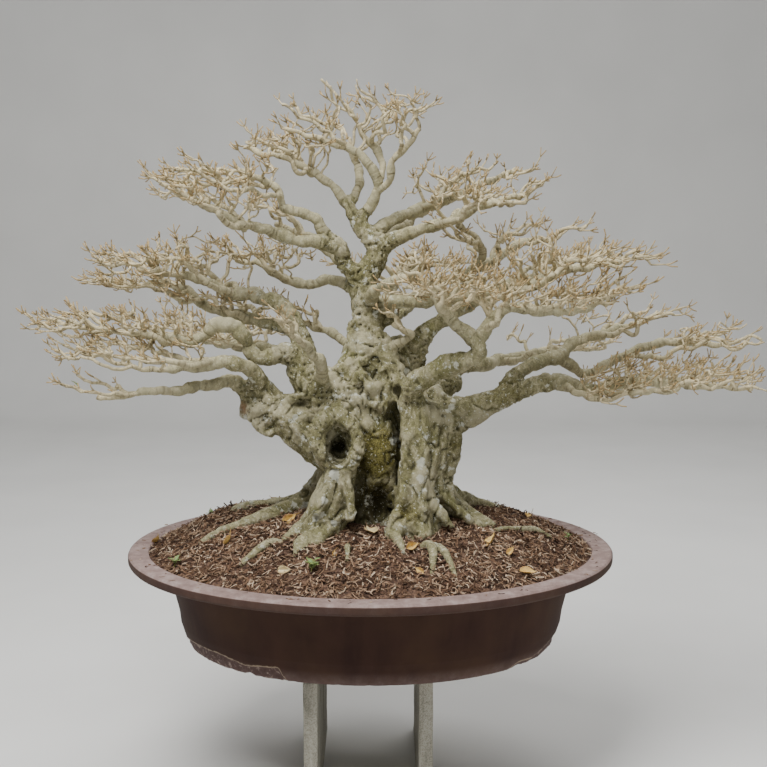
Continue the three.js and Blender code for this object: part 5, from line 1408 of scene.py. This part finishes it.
def turned_oval(profile, bevelled, steps):
    """A profile of (radius, height) in millimetres turned about the pot's axis, closed, flattened
    to the pot's oval; bevelled gives (place in the profile, rounding) of its soft edges."""
    bm = bmesh.new()
    verts = [bm.verts.new((r * MM, 0.0, z * MM)) for r, z in profile]
    for one, other in zip(verts, verts[1:]):
        bm.edges.new((one, other))
    for place, rounding in bevelled:
        soften(bm, [verts[place]], "VERTICES", rounding)
    bmesh.ops.spin(
        bm, geom=geometry(bm), axis=(0, 0, 1), cent=(0, 0, 0), steps=steps, angle=math.tau, use_merge=True)
    bmesh.ops.remove_doubles(bm, verts=bm.verts, dist=1e-6)
    bmesh.ops.dissolve_degenerate(bm, edges=bm.edges, dist=1e-7)
    bmesh.ops.recalc_face_normals(bm, faces=bm.faces)
    for vert in bm.verts:
        vert.co.y *= oval_factor(math.hypot(vert.co.x, vert.co.y) / MM)
    return bm


BASE_Z = -177.0
FLOOR_Z = -163.0
FOOT_HEIGHT = 10.0
DRAIN_X = 150.0
DRAIN_RADIUS = 16.0

# The quarters with a foot: sides in x and y, where the foot starts in x, how much of it is left.
FEET = [(-1, -1, 150, 0.12), (-1, 1, 150, 1.0), (1, -1, 228, 1.5), (1, 1, 228, 1.0)]

# Upper edge of the flakes that have come off the front of the foot, as (x, height).
FLAKES = [
    (-362, -170), (-345, -166), (-330, -154), (-300, -150), (-268, -149), (-240, -154), (-216, -159), (-190, -155),
    (-156, -151), (-142, -182), (236, -182), (262, -166), (290, -169), (318, -158), (336, -149), (354, -158),
]


class FIG_OT_pot(bpy.types.Operator):
    """The oval clay pot: flat lip, sloping wall, four feet and two drain holes"""
    bl_idname = "fig_bonsai.pot"
    bl_label = "Pot"

    def execute(self, context):
        size = settings().pot
        lip = size.lip_width / MM
        thick = size.lip_thickness / MM
        half = POT_HALF_WIDTH
        rounding = size.edge_round
        low_wall = [(342 + 0.32 * rise, BASE_Z + rise) for rise in range(4, 45, 4)]
        profile = [
            (0, BASE_Z), (170, BASE_Z), (342, BASE_Z), *low_wall, (359, -110), (370, -64), (376, -38),
            (380, -26), (388, -thick), (half - 3, -thick), (half, 4 - thick), (half, -4), (half - 4, 0),
            (half - lip, 0), (SOIL_EDGE, -6), (360, -34), (334, -130), (314, FLOOR_Z), (0, FLOOR_Z),
        ]
        lip_from = 8 + len(low_wall)
        soft = [(2, rounding), *((lip_from + k, rounding * 0.45) for k in range(5))]
        bm = turned_oval(profile, soft, size.turns)

        # Four feet, flush with the wall; the one at the front left has crumbled away.
        ring = [(315, BASE_Z + 2), (312, BASE_Z - FOOT_HEIGHT), (340, BASE_Z - FOOT_HEIGHT), (344, BASE_Z + 8)]
        for x_side, y_side, from_x, left in FEET:
            foot = turned_oval(ring + ring[:1], [], size.turns)
            for place, facing in (((x_side * from_x, 0, 0), (x_side, 0, 0)), ((0, y_side * 30, 0), (0, y_side, 0))):
                cut = bmesh.ops.bisect_plane(
                    foot, geom=geometry(foot), plane_co=Vector(place) * MM, plane_no=facing, clear_inner=True)
                bmesh.ops.holes_fill(foot, edges=[e for e in cut["geom_cut"] if isinstance(e, bmesh.types.BMEdge)])
            bmesh.ops.recalc_face_normals(foot, faces=foot.faces)
            for vert in foot.verts:
                under = BASE_Z * MM - vert.co.z
                if under > 0:
                    vert.co.z += under * (1 - left + 0.2 * left * max(0.0, noise.noise(vert.co / 0.03)))
            pour(foot, bm)
        bmesh.ops.translate(bm, verts=bm.verts, vec=HOME)

        # A hand-made wall isn't quite even, and long flakes have come off its foot.
        flake_x, flake_z = zip(*FLAKES)
        shares = ("bloom", "rubbed", "flaked")
        for name in shares:
            bm.verts.layers.float.new(name)
        bloom, rubbed, flaked = (bm.verts.layers.float[name] for name in shares)
        for vert in bm.verts:
            spot = vert.co - HOME
            outward = Vector((spot.x, spot.y, 0)).normalized()
            if spot.z < -0.001 and math.hypot(spot.x, spot.y) > 0.3:
                vert.co += outward * noise.fractal(spot / 0.09, 1.0, 2.0, 2) * 0.0011
            reach = math.hypot(spot.x / (344 * MM), spot.y / (254 * MM))
            vert[flaked] = -20.0
            if spot.z < -0.13 and spot.y < 0 and reach > 0.96:
                below = np.interp(spot.x / MM, flake_x, flake_z) - spot.z / MM
                vert[flaked] = below
                if below > 0:
                    rough = 3.0 + 2.5 * noise.fractal(spot / 0.011, 0.9, 2.1, 2)
                    vert.co -= outward * max(0.8, rough) * min(1.0, below / 2) * MM
            if spot.z < -0.172 and math.hypot(spot.x, spot.y) > 0.2:
                chip = max(0.0, noise.noise(spot / 0.019 + Vector((3.1, 0, 0))) - 0.25)
                vert.co += (-outward + Vector((0, 0, 0.9))) * chip * 0.006

            spot = (vert.co - HOME) / MM
            outer = math.hypot(spot.x / POT_HALF_WIDTH, spot.y / POT_HALF_DEPTH)
            on_lip = spot.z > -thick - 1.5 and outer > 0.84
            dusty = 0.3 * max(0.0, min(1.0, (BASE_Z + 26 - spot.z) / 22))
            # Full bloom on the lip's top and little on its band: a real chalky bloom, with the top painted lit and
            # the band painted in shade.
            vert[bloom] = 1.0 if on_lip and spot.z > -3.5 else 0.1 if on_lip else dusty
            vert[rubbed] = max(0.0, min(0.35, (BASE_Z + 5 - spot.z) / 16)) if outer > 0.6 else 0.0
        pot = linked("clay_pot", mesh_from(bm, "clay_pot"))

        bm = bmesh.new()
        for side in (-1, 1):
            bmesh.ops.create_cone(
                bm, cap_ends=True, segments=40, radius1=DRAIN_RADIUS * MM, radius2=DRAIN_RADIUS * MM, depth=60 * MM,
                matrix=Matrix.Translation(at_home(side * DRAIN_X, 0, BASE_Z + 6)))
        drains = linked("drains", mesh_from(bm, "drains", smooth=False))
        add_modifier(pot, "BOOLEAN", operation="DIFFERENCE", solver="EXACT", object=drains)
        mesh = finished(pot)
        bpy.data.objects.remove(drains)
        mesh.set_sharp_from_angle(angle=math.radians(38))
        add_piece(mesh, "clay_pot", clay_material(), "clay", "pot")
        return {"FINISHED"}


class FIG_OT_soil(bpy.types.Operator):
    """The soil's mound under the mulch"""
    bl_idname = "fig_bonsai.soil"
    bl_label = "Soil"

    def execute(self, context):
        rings = [(r, 0.0) for r in range(0, 400, 8)] + [(400, 0.0), (407, 0.0)]
        lower = [(410.7, -6.2), (359.7, -33.7), (333.7, -129.7), (313.7, FLOOR_Z + 0.3), (0, FLOOR_Z + 0.3)]
        bm = turned_oval(rings + lower, [], 128)
        for vert in bm.verts:
            x, y = vert.co.x / MM, vert.co.y / MM
            if vert.co.z > -0.001:
                crumbs = noise.fractal(Vector((x, y, 0)) / 13, 1.0, 2.0, 3) * 2.2 - 2.2
                edge = max(0.0, min(1.0, (1 - math.hypot(x / SOIL_EDGE, y / SOIL_DEEP)) * 12))
                vert.co.z = (float(soil_top(x, y)) + crumbs * edge - 0.4) * MM
        bmesh.ops.translate(bm, verts=bm.verts, vec=HOME)
        add_piece(mesh_from(bm, "soil_mound"), "soil_mound", soil_material(), "mulch", "soil")
        return {"FINISHED"}


def shred_template(bend, twist):
    """One curl of bark, a unit long and a unit wide, three-sided, bent to an arc and twisted."""
    bm = bmesh.new()
    bmesh.ops.create_cone(
        bm, cap_ends=True, segments=3, radius1=0.5, radius2=0.34, depth=1.0,
        matrix=Matrix.Rotation(math.radians(90), 4, "Y"))
    for cut in (-0.17, 0.17):
        bmesh.ops.bisect_plane(bm, geom=geometry(bm), plane_co=(cut, 0, 0), plane_no=(1, 0, 0))
    for vert in bm.verts:
        arc = bend * vert.co.x
        vert.co = Matrix.Rotation(twist * vert.co.x, 3, "X") @ Vector((0, vert.co.y, vert.co.z * 0.6))
        vert.co.x = math.sin(arc) / bend
        vert.co.y += 4.5 * (1 - math.cos(arc)) / bend
    return bm


def strew(templates, spots, name):
    """Copies of the templates laid at the spots, each (template, matrix, tint), as one mesh."""
    whole = bmesh.new()
    whole.verts.layers.float.new("tint")
    for start in range(0, len(spots), 150):
        batch = bmesh.new()
        tint = batch.verts.layers.float.new("tint")
        for which, matrix, shade in spots[start:start + 150]:
            known = len(batch.verts)
            batch.from_mesh(templates[which])
            batch.verts.ensure_lookup_table()
            new = batch.verts[known:]
            bmesh.ops.transform(batch, matrix=matrix, verts=new)
            for vert in new:
                vert[tint] = shade
        pour(batch, whole)
    return mesh_from(whole, name, smooth=False)


class FIG_OT_mulch(bpy.types.Operator):
    """The shredded bark that covers the mound"""
    bl_idname = "fig_bonsai.mulch"
    bl_label = "Mulch"

    def execute(self, context):
        size = settings().mulch
        curls = ((0.5, 0.5), (1.6, 1.0), (-2.4, -0.6), (3.1, 0.4), (-1.0, 1.8))
        templates = [mesh_from(shred_template(bend, twist), "shred", smooth=False) for bend, twist in curls]
        draw = np.random.default_rng(77)
        spots = []
        while len(spots) < size.shreds:
            x, y = draw.uniform(-1.1, 1.1, 2) * (SOIL_EDGE, SOIL_DEEP)
            share = math.hypot(x / SOIL_EDGE, y / SOIL_DEEP)
            on_lip = 1.01 < share < 1.09 and draw.random() < 0.035
            if (share > 0.992 and not on_lip) or math.hypot((x - 15) / 105, y / 95) < 1:
                continue
            length = size.shred_length / MM * draw.lognormal(-0.08, 0.36) * (0.5 if on_lip else 1.0)
            width = size.shred_width / MM * draw.lognormal(-0.1, 0.35) * (0.7 if on_lip else 1.0)
            height = width / 3 if on_lip else float(soil_top(x, y)) + draw.uniform(-1.0, 4.6)
            roll = 0.1 if on_lip else 1.0
            lay = turn_by(draw.normal(0, 0.8) * roll, draw.normal(0, 0.26) * roll, draw.uniform(0, math.tau))
            stretch = Matrix.Diagonal((length * MM, width * MM, width * 0.8 * MM, 1.0))
            matrix = Matrix.Translation(at_home(x, y, height)) @ ground_at(x, y, 4) @ lay @ stretch
            spots.append((int(draw.integers(len(templates))), matrix, float(draw.beta(1.3, 1.1))))
        half = len(spots) // 2
        for name, share in (("mulch_shreds_a", spots[:half]), ("mulch_shreds_b", spots[half:])):
            add_piece(strew(templates, share, name), name, shared("shredded pine bark", shred_material), "mulch")
        for template in templates:
            bpy.data.meshes.remove(template)
        return {"FINISHED"}


def leaf_blade(length, width, curl, fold, steps=12):
    """A small oval leaf with a point, along X from its stalk, folded along its rib and curled."""
    bm = bmesh.new()
    bmesh.ops.create_grid(bm, x_segments=steps, y_segments=6, size=0.5, calc_uvs=False)
    uv = bm.loops.layers.uv.new("blade")
    for face in bm.faces:
        for loop in face.loops:
            loop[uv].uv = (loop.vert.co.x + 0.5, loop.vert.co.y + 0.5)
    for vert in bm.verts:
        x, y = vert.co.x + 0.5, vert.co.y * 2
        outline = 3.1 * max(0.0, x) ** 0.6 * max(0.0, 1 - x) ** 1.2
        across = y * outline * width / 2
        vert.co = Vector((
            x * length, across,
            fold * abs(across) + curl * length * (x - 0.4) ** 2 + 0.04 * length * math.sin(9 * x + 3 * y) * abs(y)))
    bmesh.ops.remove_doubles(bm, verts=bm.verts, dist=length * 0.004)
    bmesh.ops.solidify(bm, geom=list(bm.faces), thickness=0.00035)
    bmesh.ops.recalc_face_normals(bm, faces=bm.faces)
    return bm


# Fallen leaves: x, y, turn, size, curl, and the node that the leaf stands for, if there is one.
FALLEN_LEAVES = [
    (0, -128, 0.1, 1.5, 0.8, ["fallen_leaf_1"]), (-148, -40, 0.9, 1.1, 1.2, ["fallen_leaf_2"]),
    (215, -139, -0.4, 1.3, 0.9, ["fallen_leaf_3"]), (270, -214, -0.7, 1.1, 1.1, ["fallen_leaf_4"]),
    (72, -190, 0.5, 0.9, 1.3, ["fallen_leaf_5"]), (-250, -118, 1.9, 1.0, 1.2, ["fallen_leaf_6"]),
    (-402, 22, 1.2, 0.9, 1.5, []), (-142, -244, 0.2, 0.9, 0.8, []), (85, -255, 2.4, 0.7, 0.9, []),
    (245, -167, 0.4, 0.7, 1.4, []), (-62, -216, 1.5, 0.6, 1.2, []), (160, 40, 2.0, 0.8, 1.0, []),
    (-190, 120, 0.6, 0.9, 1.0, []), (40, 210, 1.1, 1.0, 1.0, []), (-60, 260, 2.2, 0.8, 1.2, []),
    (300, 60, 0.3, 0.8, 1.1, []),
]


class FIG_OT_fallen_leaves(bpy.types.Operator):
    """Dry yellow leaves on the mulch"""
    bl_idname = "fig_bonsai.fallen_leaves"
    bl_label = "Fallen leaves"

    def execute(self, context):
        finish = settings().finishes
        yellow = leaf_material("dry fig leaf", finish.leaf_fallen, "#C08C38", "#8A5A2C", "#E2C887")
        pale = leaf_material("dry fig leaf, bleached", "#D8C48F", "#C9B48A", "#9B7B4E", "#E8DCBA")
        for i, (x, y, turn, size, curl, node) in enumerate(FALLEN_LEAVES):
            length = 0.027 * size
            bm = leaf_blade(length, 0.016 * size, 0.7 * curl, 0.9 * curl)
            bmesh.ops.translate(bm, verts=bm.verts, vec=(-length / 2, 0, 0))
            lay = Matrix.Translation(at_home(x, y, float(soil_top(x, y)) + 4.0)) @ ground_at(x, y, 8)
            tilt = turn_by(0.8 * math.sin(i * 2.1), -0.25 + 0.3 * math.cos(i * 1.7), turn)
            bmesh.ops.transform(bm, verts=bm.verts, matrix=lay @ tilt)
            name = f"dry_leaf_{i + 1}"
            add_piece(mesh_from(bm, name), name, pale if i in (0, 7) else yellow, "fallen_leaf", *node)
        return {"FINISHED"}


# Seedlings: x, y, size, number of leaves, and the node that the seedling stands for, if any.
SEEDLINGS = [
    (-98, -252, 1.0, 7, ["seedling_front"]), (-345, -150, 0.8, 5, ["seedling_left"]),
    (-322, 152, 0.7, 4, []), (366, -14, 0.6, 4, []),
]


# Turn from one leaf to the next round a stem.
GOLDEN_ANGLE = 2.399


class FIG_OT_seedlings(bpy.types.Operator):
    """Weed seedlings in the mulch, and the one green leaf on the lowest bough"""
    bl_idname = "fig_bonsai.seedlings"
    bl_label = "Seedlings"

    def execute(self, context):
        finish = settings().finishes
        green = leaf_material("fresh seedling leaf", finish.leaf_green, "#6C8458", "#8A8F3E", "#A9BF7C")
        for order, (x, y, size, leaves, node) in enumerate(SEEDLINGS):
            low = float(soil_top(x, y))
            stem = smooth_course([
                (x, y, low - 6, 0.9), (x + 2, y, low + 7 * size, 0.8), (x + 3, y + 1, low + 15 * size, 0.6)], 3.0)
            bm = tube_mesh([stem[:, :4]], 1, "stem")
            bm.loops.layers.uv.new("blade")
            for k in range(leaves):
                blade = leaf_blade(0.017 * size, 0.0115 * size, -0.3, 0.25, steps=8)
                tilt = turn_by(0, -0.75 + 0.16 * (k % 4), k * GOLDEN_ANGLE + order)
                top = at_home(x + 3, y + 1, low + (15 - 1.5 * k) * size)
                bmesh.ops.transform(blade, verts=blade.verts, matrix=Matrix.Translation(top) @ tilt)
                pour(blade, bm)
            name = f"weed_{order + 1}"
            add_piece(mesh_from(bm, name), name, green, "green_leaf", *node)
        bud = leaf_blade(0.02, 0.011, -0.25, 0.3, steps=8)
        spot = Matrix.Translation(at_home(*placed(-537, -120, 300)))
        bmesh.ops.transform(bud, verts=bud.verts, matrix=spot @ turn_by(0.5, -0.6, 2.6))
        add_piece(mesh_from(bud, "bud_leaf"), "bud_leaf", green, "green_leaf")
        return {"FINISHED"}


# Edge length of the concrete's mesh, in metres.
CONCRETE_MESH = 0.009


class FIG_OT_stand(bpy.types.Operator):
    """The two upright concrete slabs and the slab across them"""
    bl_idname = "fig_bonsai.stand"
    bl_label = "Stand"

    def execute(self, context):
        wear = settings().stand.edge_wear
        concrete = concrete_material()
        for node in ("stand_top", "stand_leg_left", "stand_leg_right"):
            low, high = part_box(node)
            bm = bmesh.new()
            matrix = Matrix.Translation((low + high) / 2) @ Matrix.Diagonal((*(high - low), 1.0))
            bmesh.ops.create_cube(bm, size=1.0, matrix=matrix)
            soften(bm, list(bm.edges), "EDGES", wear)
            for axis in range(3):
                count = int((high[axis] - low[axis]) / CONCRETE_MESH)
                for k in range(1, count):
                    plane = low.copy()
                    plane[axis] += (high[axis] - low[axis]) * k / count
                    normal = Vector((0, 0, 0))
                    normal[axis] = 1
                    bmesh.ops.bisect_plane(bm, geom=geometry(bm), plane_co=plane, plane_no=normal)
            bm.normal_update()
            for vert in bm.verts:
                if low.z + 0.004 < vert.co.z < high.z - 0.001:
                    wave = noise.fractal(vert.co / 0.05, 1.0, 2.0, 3)
                    chip = max(0.0, noise.noise(vert.co / 0.014) - 0.35)
                    vert.co -= vert.normal * (0.0006 + 0.0006 * wave + chip * 0.006)
            name = node + "_concrete"
            add_piece(mesh_from(bm, name), name, concrete, "concrete", node)
        return {"FINISHED"}


class FIG_OT_drain_meshes(bpy.types.Operator):
    """The plastic meshes over the drain holes keep the shape of the solids"""
    bl_idname = "fig_bonsai.drain_meshes"
    bl_label = "Drain meshes"

    def execute(self, context):
        plastic = plastic_material()
        for name in ("drain_mesh_left", "drain_mesh_right"):
            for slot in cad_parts[name].material_slots:
                slot.material = plastic
        return {"FINISHED"}


# The camera: sensor in millimetres, focal length and width of the picture in pixels, and how many
# degrees it looks down.
SENSOR_WIDTH = 36.0
FOCAL_LENGTH = 1262.0
PICTURE_WIDTH = 767.0
PITCH = 8.3


class FIG_OT_stage(bpy.types.Operator):
    """The pale floor with its sweep, the soft lights and the camera"""
    bl_idname = "fig_bonsai.stage"
    bl_label = "Stage"

    def execute(self, context):
        bm = bmesh.new()
        bmesh.ops.create_grid(bm, x_segments=1, y_segments=1, size=5.0)
        far = [e for e in bm.edges if all(v.co.y > 4.9 for v in e.verts)]
        bmesh.ops.translate(bm, verts=[v for e in far for v in e.verts], vec=(0, -0.6, 0))
        raised = bmesh.ops.extrude_edge_only(bm, edges=far)
        bmesh.ops.translate(
            bm, verts=[v for v in raised["geom"] if isinstance(v, bmesh.types.BMVert)], vec=(0, 0, 5.0))
        soften(bm, [e for e in bm.edges if len(e.link_faces) == 2], "EDGES", 0.65, segments=24)
        floor = linked("studio_floor", mesh_from(bm, "studio_floor"))
        paper, add, here = new_material("matt studio paper")
        fleck = add("TexNoise", {"Vector": here, "Scale": 3.0, "Detail": 2.0})
        tone = add("ValToRGB", {"Fac": fleck}, stops=[(0.3, "#D9D8D4"), (0.7, "#DEDDD9")])
        floor.data.materials.append(surfaced(paper, {"Base Color": tone, "Roughness": 0.95}))

        middle = Vector((0, 0, 0.75))
        for name, place, side, power in (
                ("key", Vector((-0.9, -1.5, 3.6)), 1.8, 185.0),
                ("fill", Vector((2.6, -2.6, 1.5)), 2.2, 16.0),
                ("back", Vector((0.6, 1.5, 3.4)), 1.8, 70.0)):
            lamp = bpy.data.lights.new(name, "AREA")
            lamp.shape = "SQUARE"
            lamp.size = side
            lamp.energy = power
            holder = linked(name, lamp)
            holder.location = place
            holder.rotation_euler = (middle - place).to_track_quat("-Z", "Y").to_euler()
        world = bpy.data.worlds.new("studio air")
        world.use_nodes = True
        air = world.node_tree.nodes["Background"]
        air.inputs["Color"].default_value = linear("#DADDE2")
        air.inputs["Strength"].default_value = 0.3
        context.scene.world = world

        lens = bpy.data.cameras.new("camera")
        lens.sensor_width = SENSOR_WIDTH
        lens.lens = SENSOR_WIDTH * FOCAL_LENGTH / PICTURE_WIDTH
        camera = linked("camera", lens)
        camera.location = at_home(*EYE)
        camera.rotation_euler = (math.radians(90 - PITCH), 0, 0)
        context.scene.camera = camera
        return {"FINISHED"}


OPERATORS = (
    FIG_OT_stage, FIG_OT_stand, FIG_OT_pot, FIG_OT_drain_meshes, FIG_OT_soil, FIG_OT_mulch, FIG_OT_trunk,
    FIG_OT_sprays, FIG_OT_surface_roots, FIG_OT_fallen_leaves, FIG_OT_seedlings,
)


class FIG_PT_panel(bpy.types.Panel):
    """Lists the pieces of the bonsai in the order in which they are made"""
    bl_idname = "FIG_PT_panel"
    bl_label = "Fig bonsai"
    bl_space_type = "VIEW_3D"
    bl_region_type = "UI"
    bl_category = "Bonsai"

    def draw(self, context):
        for group_name in ("pot", "tree", "mulch", "stand", "finishes"):
            group = getattr(context.scene.fig_bonsai, group_name)
            for prop in group.bl_rna.properties:
                if prop.identifier not in ("rna_type", "name"):
                    self.layout.prop(group, prop.identifier)
        for operator in OPERATORS:
            self.layout.operator(operator.bl_idname)


CLASSES = (
    PotSizes, TreeSizes, MulchSizes, StandSizes, Finishes, FigBonsaiSettings, *OPERATORS, FIG_PT_panel,
)


def register():
    for one in CLASSES:
        bpy.utils.register_class(one)
    bpy.types.Scene.fig_bonsai = PointerProperty(type=FigBonsaiSettings)


def unregister():
    del bpy.types.Scene.fig_bonsai
    for one in reversed(CLASSES):
        bpy.utils.unregister_class(one)


def main():
    register()
    for operator in OPERATORS:
        group, name = operator.bl_idname.split(".")
        getattr(getattr(bpy.ops, group), name)()


if __name__ == "__main__":
    main()
